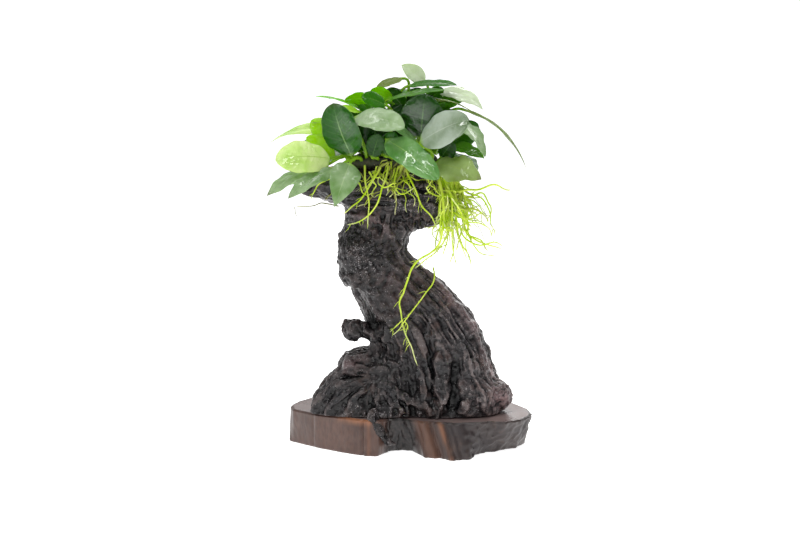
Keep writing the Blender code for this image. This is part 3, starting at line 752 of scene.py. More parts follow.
def slab_relief(points, bark):
    """How far the slab's side stands out at each point, in millimetres."""
    x, y, z = points.T
    front = smooth_step(-8, -16, y)
    sawn = front * smooth_step(8, 13, x)
    place_across = saw_place(x, z)
    relief = np.full(len(points), SLAB_SWELL)
    for middle, width, depth in SAW_GROOVES:
        relief -= sawn * depth * bell(place_across, middle, width)
    for middle, width, height in SAW_RIDGES:
        relief += sawn * height * bell(place_across, middle, width)
    for middle, width, depth in SIDE_CRACKS:
        relief -= front * depth * bell(x, middle, width)
    grain = np.stack([x + y * 0.6, y, z * 0.16], axis=1)
    relief += 0.2 * perlin(grain / 1.9) + 0.25 * perlin(points / 5)
    chipped = front * smooth_step(40, 50, x)
    relief += chipped * (1.5 * (crest(perlin(points / (9, 9, 7) + 12)) - 0.5) + 0.4 * fractal(points / 3, 3))
    relief += bark * (1.3 * crests(points / (6, 6, 10)) + 0.35 * fractal(points / 3, 3))
    return relief


def saw_place(x, z):
    """Where a point lies across the leaning saw grooves: its x where the line through it meets the top."""
    return x + SAW_SLANT * (z - SLAB_THICKNESS) + 8


def bell(values, middle, width):
    return np.exp(-((values - middle) / width) ** 2)


def outward_ways(outline):
    """The level direction out of the slab at each point of its outline."""
    way = np.roll(outline, -1, axis=0) - np.roll(outline, 1, axis=0)
    out = np.column_stack([way[:, 1], -way[:, 0]])
    return out / np.maximum(np.linalg.norm(out, axis=1), 1e-9)[:, None]


def slab_side_ring(under, top, height):
    """A ring of the slab's side at a share of its height, with worn arrises, and its share of bark."""
    outline = under * (1 - height) + top * height
    points = np.column_stack([outline, np.full(len(top), height * SLAB_THICKNESS)])
    bark = bark_share(points[:, 0], points[:, 1])
    worn = TOP_WEAR * max(0.0, 1 - (1 - height) / 0.05) ** 2 + SOLE_WEAR * max(0.0, 1 - height / 0.03) ** 2
    arris = 0.7 if height > 0.97 else 1.0
    points[:, :2] += outward_ways(outline) * (slab_relief(points, bark) * arris - worn)[:, None]
    return points, bark


def slab_top_ring(top, inward):
    """A ring of the slab's top, a share of the way in, with shallow dips."""
    middle = top.mean(axis=0)
    outline = middle + (top - middle) * (1 - inward)
    points = np.column_stack([outline, np.full(len(top), SLAB_THICKNESS)])
    bark = bark_share(points[:, 0], points[:, 1])
    reach = math.exp(-inward / 0.02)
    points[:, :2] += outward_ways(outline) * (slab_relief(points, bark) * 0.7 - 1.5)[:, None] * reach
    dip = 0.35 * (1 + perlin(points / 14)) + 0.2 * bark * (inward < 0.25)
    points[:, 2] -= dip * min(1.0, inward * 12)
    return points


def slab_sole_ring(under, middle, share):
    """A flat ring of the slab's underside, a share of the way out."""
    outline = middle + (under - middle) * share
    return np.column_stack([outline, np.zeros(len(under))])


def warm_share(points):
    """How orange the slab's side is at each point: worn front edges, one saw ridge and a crack."""
    x, y, z = points.T
    edge = 1 - smooth_step(0.0, 6.0, SLAB_THICKNESS - z)
    warm = edge * smooth_step(-46, -40, x) * smooth_step(-17, -22, x) * (y < 0)
    across = saw_place(x, z)
    warm += (0.6 * bell(across, 35, 1.8) + 0.3 * bell(across, 23, 7)) * (y < -20)
    warm += 0.35 * bell(x, -21.5, 1.2) * (y < 0)
    return np.clip(warm, 0, 1)


def make_slab():
    """A sawn slab with a natural edge: worn arrises, saw grooves, a crack and bark left in its inlets."""
    under, top = slab_outlines()
    none = [0.0] * len(top)
    rings, marks = [], {"warm": [], "bark": [], "top": []}

    def keep(points, warm, bark, top_share):
        rings.append([mm(p) for p in points])
        for name, numbers in (("warm", warm), ("bark", bark), ("top", [top_share] * len(points))):
            marks[name].append(list(numbers))

    for share in SOLE_RINGS:
        keep(slab_sole_ring(under, top.mean(axis=0), share), none, none, 0.0)
    for height in SIDE_RINGS:
        points, bark = slab_side_ring(under, top, height)
        keep(points, warm_share(points), bark, 0.0)
    for inward in TOP_RINGS:
        keep(slab_top_ring(top, inward), none, none, 1.0)
    skin = Skin("warm", "bark", "top")
    skin.add_rings(rings, marks)
    slab = skin.to_object("wooden_slab", slab_material())
    slab.data.set_sharp_from_angle(angle=math.radians(42))
    stand_for(slab, "slab_wood", "slab")


def slab_material():
    """Wet sawn hardwood: streaked reddish brown, orange where worn, nearly black where bark is left, with a
    painted pale sheen on its top.
    """
    made, tree, shader, _ = new_material("slab_hardwood")
    warm, bark, top = attribute(tree, "warm"), attribute(tree, "bark"), attribute(tree, "top")
    streaks = cloud(tree, place(tree, (1, 1, 0.22)), 130, 4, 0.6)
    broad = cloud(tree, place(tree), 28, 4)
    fine = cloud(tree, place(tree, (1, 1, 0.35)), 620, 3)
    left = between(tree, add_node(tree, "SeparateXYZ", {0: place(tree)}).outputs["X"], 0.016, -0.02)
    brown = blend(tree, left, srgb(55, 44, 41), srgb(94, 69, 60))
    deep_brown = blend(tree, left, srgb(46, 39, 40), srgb(74, 56, 51))
    brown = blend(tree, between(tree, broad, 0.38, 0.66), brown, deep_brown)
    brown = blend(tree, between(tree, streaks, 0.48, 0.85, 0.0, 0.5), brown, srgb(54, 44, 43))
    brown = blend(tree, between(tree, streaks, 0.42, 0.25, 0.0, 0.25), brown, srgb(130, 100, 84))
    brown = blend(tree, between(tree, fine, 0.4, 0.7, 0.0, 0.35), brown, srgb(60, 48, 46))
    worn = blend(tree, maths(tree, "MULTIPLY", warm, between(tree, streaks, 0.35, 0.6, 0.25, 0.95)), brown,
                 srgb(150, 100, 70))
    dark = blend(tree, between(tree, fine, 0.35, 0.7), srgb(18, 16, 16), srgb(52, 45, 44))
    colour = blend(tree, maths(tree, "MULTIPLY", bark, between(tree, broad, 0.3, 0.5, 0.7, 1.0)), worn, dark)
    # Painted sheen: the top is made paler, as its wet face would look where it reflects light.
    pale = blend(tree, between(tree, broad, 0.4, 0.6), srgb(98, 80, 76), srgb(144, 124, 121))
    colour = blend(tree, maths(tree, "MULTIPLY", top, 0.75), colour, pale)
    smooth = maths(tree, "MULTIPLY", top, 0.1)
    height = maths(tree, "MULTIPLY_ADD", streaks, 0.6, maths(tree, "MULTIPLY", fine, 0.4))
    set_inputs(tree, shader, {
        "Base Color": colour,
        "Roughness": maths(tree, "SUBTRACT", between(tree, broad, 0.35, 0.65, 0.28, 0.48), smooth),
        "Specular IOR Level": 0.45,
        "Normal": bump(tree, height, 0.5 * MM, 0.6)})
    return made


# ---------------------------------------------------------------- the rhizomes

STALK_RADIUS = 1.0
FRONT, BACK = "rhizome_front", "rhizome_back"
# Each rhizome's points and radius.
RHIZOMES = {
    FRONT: ([(-38, -16, 199.8), (-26, -18, 200.3), (-10, -20, 199.8), (6, -20, 199.8), (21, -18, 199.5),
             (33, -11, 196)], 4.1),
    BACK: ([(-31, 4, 201.8), (-18, 9, 201.8), (-3, 11, 201.8), (12, 10, 201.8), (26, 4, 200.4)], 4.3),
}
RHIZOME_STEPS = 14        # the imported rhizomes' rings, by which leaf stalks are placed


def rhizome_line(name, count=RHIZOME_STEPS):
    points, radius = RHIZOMES[name]
    return smooth_line([mm(p) for p in points], count), radius * MM


def make_rhizome(name, shader):
    """A creeping stem: leaf scars ring it all along, and both ends are rounded."""
    count, sides = 130, 20
    line, radius = rhizome_line(name, count)
    rings = []
    for i, (centre, (side, up)) in enumerate(zip(line, carried_frames(tangents(line), Vector((0, 0, 1))))):
        share = i / (count - 1)
        end = min(1.0, math.sqrt(max(0.02, 1 - (abs(share * 2 - 1) ** 9))))
        scar = abs(math.sin(math.pi * (share * 15 + 0.2 * noise.noise(centre * 200))))
        ring = []
        for k in range(sides):
            a = 2 * math.pi * k / sides
            way = side * math.cos(a) + up * math.sin(a)
            lump = 0.09 * noise.noise((centre + way * radius) * 260)
            ring.append(centre + way * radius * end * (0.92 + 0.14 * (1 - scar) ** 2 + lump))
        rings.append(ring)
    skin = Skin()
    skin.add_rings(rings, {})
    stand_for(skin.to_object(name.replace("rhizome", "creeping_stem"), shader), "rhizome", name)


def rhizome_material():
    """Old stems: dark olive, darkened further as painted shade under the leaves and roots, with brown scars.
    """
    made, tree, shader, _ = new_material("rhizome_skin")
    where = place(tree)
    share = between(tree, cloud(tree, where, 150, 4), 0.35, 0.68)
    # The olive is darker than the stems' own colour: painted shade.
    olive = blend(tree, share, srgb(26, 28, 14), srgb(56, 62, 28))
    set_inputs(tree, shader, {
        "Base Color": blend(tree, between(tree, cloud(tree, where, 420, 3), 0.54, 0.7), olive,
                            srgb(60, 48, 30)),
        "Roughness": 0.6,
        "Normal": bump(tree, cloud(tree, where, 700, 3), 0.3 * MM)})
    return made


# ---------------------------------------------------------------- the leaves

# Leaves: rhizome, share of the way along it, blade base, blade tip, way its upper face points,
# blade width, how high the blade arches, how deep its halves fold up, twist from base to tip in degrees.
LEAVES = {
    "leaf_01": (FRONT, 0.16, (-33, -27, 206), (-45, -37, 242), (-0.35, -0.93, 0.1), 27, 4, 0.12, 0),
    "leaf_02": (FRONT, 0.24, (-30, -31, 232), (3, -48, 226), (0.0, -0.66, 0.75), 22, 4, 0.10, 0),
    "leaf_03": (FRONT, 0.72, (14, -21, 217), (17, -31, 248), (-0.05, -0.92, 0.35), 29, 3, 0.14, 0),
    "leaf_04": (FRONT, 0.80, (14, -35, 216), (46, -49, 232), (0.1, -0.82, 0.55), 25, 4, 0.10, 0),
    "leaf_05": (FRONT, 0.58, (-9, -33, 217), (26, -52, 192), (-0.2, -0.75, 0.6), 20, 5, 0.10, 0),
    "leaf_06": (FRONT, 0.66, (11, -27, 216), (-8, -37, 227), (0.1, -0.5, 0.86), 12, 2, 0.10, 0),
    "leaf_07": (FRONT, 0.90, (24, -28, 200), (55, -40, 191), (0.15, -0.78, 0.6), 23, 4, 0.10, 0),
    "leaf_08": (FRONT, 0.97, (42, -21, 229), (58, -28, 205), (0.75, -0.5, 0.45), 18, 3, 0.14, 0),
    "leaf_09": (BACK, 0.97, (36, -6, 211), (58, -15, 203), (0.35, -0.6, 0.72), 14, 2, 0.20, 0),
    "leaf_10": (BACK, 0.86, (28, 4, 248), (57, -6, 236), (0.45, -0.5, 0.74), 20, 5, 0.10, 0),
    "leaf_11": (BACK, 0.80, (17, -12, 243), (50, -22, 235), (0.25, 0.1, 0.96), 16, 3, 0.12, 0),
    "leaf_12": (BACK, 0.93, (43, -3, 236), (88, -8, 194), (0.6, 0.2, 0.75), 12, 8, 0.14, 0),
    "leaf_13": (BACK, 0.64, (6, -2, 252), (39, -10, 253), (0.05, -0.3, 0.95), 15, 2, 0.12, 0),
    "leaf_14": (FRONT, 0.50, (-8, -13, 243), (30, -22, 250), (-0.15, -0.2, 0.95), 14, 2, 0.12, 0),
    "leaf_15": (BACK, 0.76, (23, 13, 243), (45, 9, 250), (0.0, -0.35, 0.93), 12, 2, 0.10, 0),
    "leaf_16": (BACK, 0.58, (17, 13, 255), (1, 11, 266), (0.35, -0.85, 0.3), 13, 1.5, 0.10, 0),
    "leaf_17": (BACK, 0.40, (-6, -6, 241), (-20, -14, 250), (-0.35, 0.75, 0.55), 12, 1.5, 0.12, 0),
    "leaf_18": (BACK, 0.30, (-19, -5, 242), (-38, -12, 243), (-0.2, 0.7, 0.7), 12, 2, 0.12, 0),
    "leaf_19": (BACK, 0.46, (-10, -20, 240), (-26, -27, 246), (-0.1, -0.8, 0.6), 13, 1.5, 0.10, 0),
    "leaf_20": (BACK, 0.14, (-29, 1, 237), (-58, -6, 245), (-0.1, 0.1, 1), 12, 2, 0.12, 0),
    "leaf_21": (BACK, 0.20, (-28, -14, 235), (-40, -21, 238), (0.0, -0.5, 0.87), 10, 1, 0.12, 0),
    "leaf_22": (BACK, 0.05, (-43, -6, 221), (-89, -19, 214), (-0.25, 0.6, 0.75), 17, 7, 0.10, -25),
    "leaf_23": (FRONT, 0.08, (-48, -27, 204), (-84, -40, 204), (-0.1, -0.86, 0.5), 25, 4, 0.10, 0),
    "leaf_24": (BACK, 0.10, (-45, -14, 204), (-64, -20, 218), (0.3, -0.85, 0.45), 14, 2, 0.10, 0),
    "leaf_25": (FRONT, 0.04, (-50, -19, 199), (-89.8, -41, 180), (-0.3, -0.55, 0.78), 20, 4, 0.12, 0),
    "leaf_26": (FRONT, 0.12, (-45, -33, 197), (-75, -50, 179), (-0.3, -0.75, 0.6), 14, 4, 0.12, 0),
    "leaf_27": (FRONT, 0.20, (-34, -36, 201), (-44, -49, 173), (0.05, -0.9, 0.35), 21, 4, 0.20, 0),
    "leaf_28": (FRONT, 0.40, (-21, -15, 206), (-15, -20, 231), (0.15, -0.97, 0.15), 22, 2, 0.10, 0),
    "leaf_29": (BACK, 0.26, (-27, -8, 207), (-32, -15, 232), (0.25, -0.9, 0.3), 19, 2, 0.10, 0),
    "leaf_30": (BACK, 0.49, (1, 0, 257), (-16, -7, 251), (0.0, -0.35, 0.93), 11, 1, 0.10, 0),
    "leaf_31": (BACK, 0.11, (-38, 13, 221), (-67, 28, 208), (-0.4, 0.3, 0.87), 22, 4, 0.12, 0),
    "leaf_32": (BACK, 0.25, (-24, 18, 226), (-43, 44, 213), (-0.3, 0.6, 0.75), 23, 4, 0.12, 0),
    "leaf_33": (BACK, 0.36, (-12, 16, 238), (-21, 43, 234), (-0.2, 0.5, 0.85), 21, 4, 0.12, 0),
    "leaf_34": (BACK, 0.51, (0, 20, 221), (2, 52, 206), (0.0, 0.65, 0.76), 24, 4, 0.12, 0),
    "leaf_35": (BACK, 0.70, (14, 23, 235), (27, 48, 228), (0.2, 0.6, 0.78), 22, 4, 0.12, 0),
    "leaf_36": (BACK, 0.78, (24, 18, 218), (48, 38, 204), (0.4, 0.5, 0.77), 22, 4, 0.12, 0),
    "leaf_37": (BACK, 0.89, (34, 12, 226), (56, 27, 214), (0.5, 0.35, 0.78), 20, 4, 0.12, 0),
    "leaf_38": (BACK, 0.43, (-11, 21, 208), (-25, 46, 191), (-0.2, 0.7, 0.7), 21, 4, 0.12, 0),
    "leaf_39": (BACK, 0.19, (-31, 18, 208), (-55, 37, 194), (-0.4, 0.5, 0.77), 21, 4, 0.12, 0),
    "leaf_40": (BACK, 0.62, (9, 21, 207), (18, 48, 190), (0.2, 0.7, 0.7), 21, 4, 0.12, 0),
    "leaf_41": (BACK, 0.55, (3, 19, 243), (6, 45, 245), (0.0, 0.3, 0.95), 20, 4, 0.12, 0),
    "leaf_42": (BACK, 0.96, (35, 8, 205), (53, 27, 190), (0.5, 0.35, 0.78), 20, 4, 0.12, 0),
}
# Young and inner leaves between the large ones, all in one joined piece. The same columns, then the look.
INNER_LEAVES = [
    (BACK, 0.08, (-43, -8, 212), (-61, -13, 229), (0.1, -0.9, 0.35), 17, 2, 0.12, 0, "lime"),
    (BACK, 0.22, (-26, -2, 214), (-41, -6, 238), (-0.25, -0.85, 0.3), 20, 2, 0.12, 0, "dark"),
    (BACK, 0.34, (-14, -4, 214), (-12, -14, 238), (0.1, -0.9, 0.3), 20, 2, 0.14, 0, "dark"),
    (BACK, 0.48, (0, -6, 216), (3, -16, 240), (-0.1, -0.9, 0.35), 21, 3, 0.14, 0, "deep"),
    (BACK, 0.58, (8, 2, 222), (22, -6, 246), (0.3, -0.8, 0.35), 20, 2, 0.12, 0, "deep"),
    (BACK, 0.70, (20, 0, 214), (36, -8, 236), (0.3, -0.85, 0.3), 20, 2, 0.12, 0, "dark"),
    (BACK, 0.84, (32, 2, 210), (54, -4, 226), (0.45, -0.75, 0.4), 18, 2, 0.12, 0, "dark"),
    (FRONT, 0.34, (-19, -27, 205), (-14, -34, 221), (0.1, -0.9, 0.4), 13, 2, 0.12, 0, "deep"),
    (FRONT, 0.46, (-10, -26, 206), (-3, -33, 222), (0.0, -0.85, 0.5), 13, 2, 0.12, 0, "dark"),
    (FRONT, 0.86, (28, -22, 204), (36, -33, 216), (0.2, -0.85, 0.5), 14, 2, 0.12, 0, "deep"),
    (BACK, 0.30, (-20, 6, 232), (-33, 2, 246), (-0.1, -0.6, 0.7), 12, 2, 0.12, 0, "green"),
    (BACK, 0.66, (16, 6, 238), (30, 0, 250), (0.2, -0.7, 0.6), 12, 2, 0.12, 0, "green"),
    (BACK, 0.52, (3, 2, 236), (-9, -2, 250), (-0.1, -0.85, 0.45), 13, 2, 0.12, 0, "dark"),
    (BACK, 0.57, (8, -4, 236), (14, -10, 251), (0.1, -0.85, 0.45), 13, 2, 0.12, 0, "deep"),
    (BACK, 0.75, (24, 2, 238), (44, -4, 243), (0.15, -0.7, 0.65), 13, 2, 0.12, 0, "green"),
    (BACK, 0.40, (-10, -10, 226), (2, -16, 238), (0.0, -0.85, 0.5), 14, 2, 0.12, 0, "deep"),
]
# Each leaf's look, how far its paler second colour spreads (partly its own paler green and partly a painted
# sheen of reflected light), how wavy its margin is, and its wet patches as (along, across, reach).
LEAF_LOOKS = {
    "leaf_01": ("dark", 0.08, 0.07, [(0.1, 0.0, 0.35), (0.55, 0.4, 0.45)]),
    "leaf_02": ("grey", 0.68, 0.05, [(0.35, 0.2, 0.5)]),
    "leaf_03": ("deep", 0.12, 0.07, [(0.45, -0.3, 0.6)]),
    "leaf_04": ("silver", 0.7, 0.05, [(0.6, 0.3, 0.55), (0.3, -0.3, 0.3)]),
    "leaf_05": ("wet_green", 0.6, 0.13, [(0.62, 0.2, 0.6), (0.8, -0.3, 0.3)]),
    "leaf_06": ("wet_green", 0.65, 0.05, [(0.5, 0, 0.5)]),
    "leaf_07": ("olive", 0.55, 0.14, []),
    "leaf_08": ("grey", 0.45, 0.1, [(0.5, 0.3, 0.4)]),
    "leaf_09": ("green", 0.9, 0.1, [(0.5, 0.2, 0.4)]),
    "leaf_10": ("white", 0.8, 0.05, []),
    "leaf_11": ("olive", 0.15, 0.05, []),
    "leaf_12": ("olive", 0.3, 0.05, []),
    "leaf_13": ("green", 0.0, 0.05, []),
    "leaf_14": ("green", 0.8, 0.05, [(0.4, 0.0, 0.3)]),
    "leaf_15": ("white", 0.4, 0.05, []),
    "leaf_16": ("white", 0.45, 0.05, []),
    "leaf_17": ("fresh", 0.1, 0.04, []),
    "leaf_18": ("fresh", 0.0, 0.04, []),
    "leaf_19": ("green", 0.2, 0.04, []),
    "leaf_20": ("fresh", 0.2, 0.03, []),
    "leaf_21": ("lime", 0.1, 0.04, []),
    "leaf_22": ("lime", 0.8, 0.03, []),
    "leaf_23": ("lime", 0.8, 0.08, [(0.35, 0.3, 0.4), (0.7, -0.2, 0.35)]),
    "leaf_24": ("lime", 0.1, 0.05, []),
    "leaf_25": ("grey", 0.6, 0.13, []),
    "leaf_26": ("grey", 0.5, 0.12, [(0.5, 0, 0.35)]),
    "leaf_27": ("grey", 0.4, 0.1, []),
    "leaf_28": ("deep", 0.1, 0.06, [(0.5, 0.2, 0.35)]),
    "leaf_29": ("deep", 0.2, 0.06, [(0.6, 0.2, 0.4)]),
    "leaf_30": ("olive", 0.0, 0.04, []),
}
BACK_LOOKS = (("dark", 0.2, 0.06, []), ("green", 0.25, 0.06, []), ("dark", 0.35, 0.08, []))
# Looks: the leaf's own colour, its paler second colour, which is partly a paler green and partly a painted
# sheen where the wet face reflects light, its veins, and how much light shines through.
LOOKS = {
    "deep": ((12, 56, 2), (42, 90, 14), (84, 130, 50), 0.16),
    "dark": ((20, 82, 4), (60, 122, 24), (150, 188, 110), 0.26),
    "green": ((44, 116, 10), (92, 152, 44), (142, 184, 88), 0.36),
    "fresh": ((140, 216, 0), (184, 228, 50), (196, 228, 100), 0.5),
    "lime": ((176, 226, 8), (244, 252, 190), (168, 206, 74), 0.45),
    "olive": ((104, 124, 30), (176, 196, 128), (170, 188, 100), 0.35),
    "grey": ((80, 126, 42), (164, 190, 144), (180, 200, 152), 0.22),
    "silver": ((92, 118, 74), (168, 182, 164), (184, 196, 176), 0.12),
    "white": ((176, 200, 130), (222, 232, 208), (206, 220, 170), 0.3),
    "wet_green": ((38, 120, 12), (128, 174, 104), (170, 206, 110), 0.24),
}
BLADE_RINGS, STALK_RINGS = 46, 14
HALF_RING = 15            # points across one face of the blade
BLADE_THICKNESS = 0.34
# The points round a blade: across it from 1 to -1, and which face, 1 for the upper one.
BLADE_AROUND = [(face_side * math.cos(math.pi * k / HALF_RING), face_side)
                for face_side in (1.0, -1.0) for k in range(HALF_RING)]
WIDTH_RISE, WIDTH_FALL = 0.5, 0.6
# Leaves whose tips are drawn out further.
POINTED = {"leaf_07": 0.85, "leaf_08": 0.9, "leaf_10": 0.95, "leaf_16": 0.8, "leaf_22": 0.9, "leaf_25": 0.85,
           "leaf_26": 0.8, "leaf_27": 1.15, "leaf_09": 0.9, "leaf_12": 1.1, "leaf_11": 0.8, "leaf_15": 0.9}
STALK_COLOUR, SCORCH_COLOUR, GLOW_COLOUR = (140, 186, 44), (120, 104, 92), (176, 222, 20)
TIP_SCORCH = {"leaf_07": 0.8, "leaf_25": 0.6, "leaf_26": 0.35, "leaf_01": 0.3, "leaf_12": 0.5}


def petiole_start(rhizome, share, towards):
    """Where a leaf stalk leaves its rhizome, and the way it leaves."""
    line, radius = rhizome_line(rhizome)
    reach = share * (RHIZOME_STEPS - 1)
    i = min(int(reach), RHIZOME_STEPS - 2)
    centre = line[i].lerp(line[i + 1], reach - i)
    along = (line[i + 1] - line[i]).normalized()
    out = (towards - centre).normalized() + Vector((0, 0, 0.6))
    out = (out - along * out.dot(along)).normalized()
    return centre + out * radius * 0.9, out


def width_share(u, fall):
    """The blade's half width at a share of its length, from 0 to 1 at the widest."""
    widest = WIDTH_RISE / (WIDTH_RISE + fall)
    most = widest ** WIDTH_RISE * (1 - widest) ** fall
    return max(u, 0.0) ** WIDTH_RISE * max(1 - u, 0.0) ** fall / most


def bezier(a, b, c, d, t):
    s = 1 - t
    return a * s ** 3 + b * 3 * s ** 2 * t + c * 3 * s * t ** 2 + d * t ** 3


def leaf_line(spec):
    """Middle points of the stalk and of the blade, and a side and an up vector at each."""
    rhizome, share, base, tip, face, _, arch, _, twist = spec
    base, tip, face = mm(base), mm(tip), Vector(face).normalized()
    span = tip - base

    def blade_point(u):
        return base + span * u + face * (arch * MM * 4 * u * (1 - u))

    foot, out = petiole_start(rhizome, share, base)
    onward = (blade_point(0.05) - base).normalized()
    reach = (base - foot).length
    stalk = [bezier(foot, foot + out * reach * 0.45, base - onward * reach * 0.3, base, t / STALK_RINGS)
             for t in range(STALK_RINGS)]
    shares = [1 - math.cos(math.pi / 2 * (k / (BLADE_RINGS - 1)) ** 0.9) for k in range(BLADE_RINGS)]
    shares = [0.5 * (s + k / (BLADE_RINGS - 1)) for k, s in enumerate(shares)]
    blade = [blade_point(u) for u in shares]
    ways = tangents(stalk + blade)
    side = ways[len(stalk)].cross(face).normalized()
    frames = carried_frames(ways[len(stalk)::-1], side)[::-1]
    for way, u in zip(ways[len(stalk) + 1:], shares[1:]):
        turned = Matrix.Rotation(math.radians(twist) * u, 3, way)
        level = way.cross(face).normalized()
        frames.append((turned @ level, turned @ level.cross(way)))
    return stalk, blade, frames, shares


def blade_lift(u, across, half, fold, wave, seed, notch):
    """How far a point of the blade lies above its middle line, in millimetres."""
    side = math.copysign(1.0, across)
    rise = fold * half * (math.sqrt(across * across + 0.01) - 0.1)
    curl = -0.12 * half * across ** 4
    ripple = wave * half * across * across * math.sin(2 * math.pi * (1.7 * u + 0.35 * side) + seed)
    ripple += wave * half * 0.5 * abs(across) ** 3 * math.sin(2 * math.pi * (4.3 * u - 0.2 * side) + seed * 2)
    pleat = 0.06 * math.sin(2 * math.pi * (u * 8.5 - abs(across) * 1.7))
    pleat *= (1 - abs(across)) * min(1, half / 5)
    groove = -0.42 * math.exp(-(across * half / 0.8) ** 2) * notch
    return rise + curl + ripple + pleat + groove


def leaf_values(u, across, patches, pale, scorch):
    """The leaf's named numbers at one point."""
    wet = max((math.exp(-((u - a) ** 2 + ((across - b) * 0.5) ** 2) / (r * r * 0.5)) for a, b, r in patches),
              default=0.0)
    dry = scorch * float(smooth_step(0.86, 1.0, u))
    return {"along": u, "across": across, "wet": wet, "pale": pale, "dry": dry}


def stalk_rings(stalk, frames):
    """Round rings up a leaf's stalk, which thins towards the blade."""
    rings = []
    for i, (centre, (side, up)) in enumerate(zip(stalk, frames)):
        radius = STALK_RADIUS * (1.25 - 0.35 * i / STALK_RINGS)
        rings.append(round_ring(centre, side, up, radius, 2 * HALF_RING))
    return rings


def blade_ring(centre, side, up, u, half, shape):
    """A ring over the blade's upper face and back along the lower one, where the midrib stands out."""
    fold, wave, seed = shape
    begin = float(smooth_step(0.0, 0.05, u))
    ring = []
    for across, face_side in BLADE_AROUND:
        edge = math.sqrt(max(0.0, 1 - across * across))
        rib = STALK_RADIUS * (1 - u) ** 1.5 * math.exp(-(across * half / 1.1) ** 2)
        thick = (BLADE_THICKNESS / 2 + (0.75 if face_side < 0 else 0.1) * rib) * min(1.0, edge * 2.2)
        thick = thick * begin + STALK_RADIUS * edge * (1 - begin)
        lift = blade_lift(u, across, half, fold, wave, seed, 1 if face_side > 0 else 0.4) * begin
        ring.append(centre + side * (half * across * MM) + up * ((lift + face_side * thick) * MM))
    return ring


def add_leaf(skin, spec, look, seed, scorch=0.0, fall=WIDTH_FALL):
    """One leaf: a round stalk that flattens into a thin blade with a grooved midrib and a soft margin."""
    _, _, _, _, _, width, _, fold, _ = spec
    _, pale, wave, patches = look
    stalk, blade, frames, shares = leaf_line(spec)
    rings = stalk_rings(stalk, frames)
    rows = [[leaf_values(i / STALK_RINGS - 1.02, 0, [], pale, 0)] * (2 * HALF_RING)
            for i in range(STALK_RINGS)]
    for centre, (side, up), u in zip(blade, frames[STALK_RINGS:], shares):
        half = max(width / 2 * width_share(u, fall), STALK_RADIUS * 0.9 * (1 - u ** 4), 0.12)
        half *= 1 + 0.018 * math.sin(9 * u + seed)
        rings.append(blade_ring(centre, side, up, u, half, (fold, wave, seed)))
        rows.append([leaf_values(u, across, patches, pale, scorch) for across, _ in BLADE_AROUND])
    skin.add_rings(rings, {name: [[numbers[name] for numbers in row] for row in rows]
                           for name in skin.values})


def leaf_colour(tree, look, where, veins):
    """Clouds of a paler green that is partly a painted sheen of reflected light, faint side veins, a paler
    midrib and margin, and a scorched tip.
    """
    own, pale_and_sheen_colour, vein_colour, _ = look
    own, pale_and_sheen_colour, vein_colour = srgb(*own), srgb(*pale_and_sheen_colour), srgb(*vein_colour)
    along, distance = attribute(tree, "along"), maths(tree, "ABSOLUTE", attribute(tree, "across"))
    threshold = maths(tree, "SUBTRACT", 1.0, attribute(tree, "pale"))
    level = maths(tree, "MULTIPLY_ADD", threshold, 0.5, 0.25)
    share = between(tree, maths(tree, "SUBTRACT", cloud(tree, where, 42, 3, 0.5), level), -0.16, 0.16)
    # The paler clouds are partly the leaf's own paler green and partly a painted sheen of reflected light.
    colour = blend(tree, share, own, pale_and_sheen_colour)
    fine = between(tree, cloud(tree, where, 320, 4, 0.6), 0.3, 0.7, 0.0, 0.3)
    colour = blend(tree, fine, colour, blend(tree, 0.5, own, pale_and_sheen_colour))
    veined = maths(tree, "MULTIPLY", between(tree, veins, 0.8, 1.0, 0.0, 0.09),
                   between(tree, distance, 0.95, 0.6))
    colour = blend(tree, veined, colour, vein_colour)
    rib_length = between(tree, along, 0.96, 0.4, 0, 0.6)
    midrib = maths(tree, "MULTIPLY", between(tree, distance, 0.045, 0.014), rib_length)
    colour = blend(tree, midrib, colour, vein_colour)
    colour = blend(tree, between(tree, distance, 0.95, 1.0, 0, 0.35), colour, vein_colour)
    scorched = maths(tree, "MULTIPLY", attribute(tree, "dry"), between(tree, fine, 0.0, 0.3, 0.6, 1.0))
    colour = blend(tree, scorched, colour, srgb(*SCORCH_COLOUR))
    return blend(tree, between(tree, along, 0.07, -0.02), colour, srgb(*STALK_COLOUR))


def vein_wave(tree):
    """A wave, -1 to 1, whose crests are the side veins: they leave the midrib and lean to the tip."""
    along, distance = attribute(tree, "along"), maths(tree, "ABSOLUTE", attribute(tree, "across"))
    lean = maths(tree, "MULTIPLY", distance, 10.7)
    return maths(tree, "SINE", maths(tree, "SUBTRACT", maths(tree, "MULTIPLY", along, 53.4), lean))


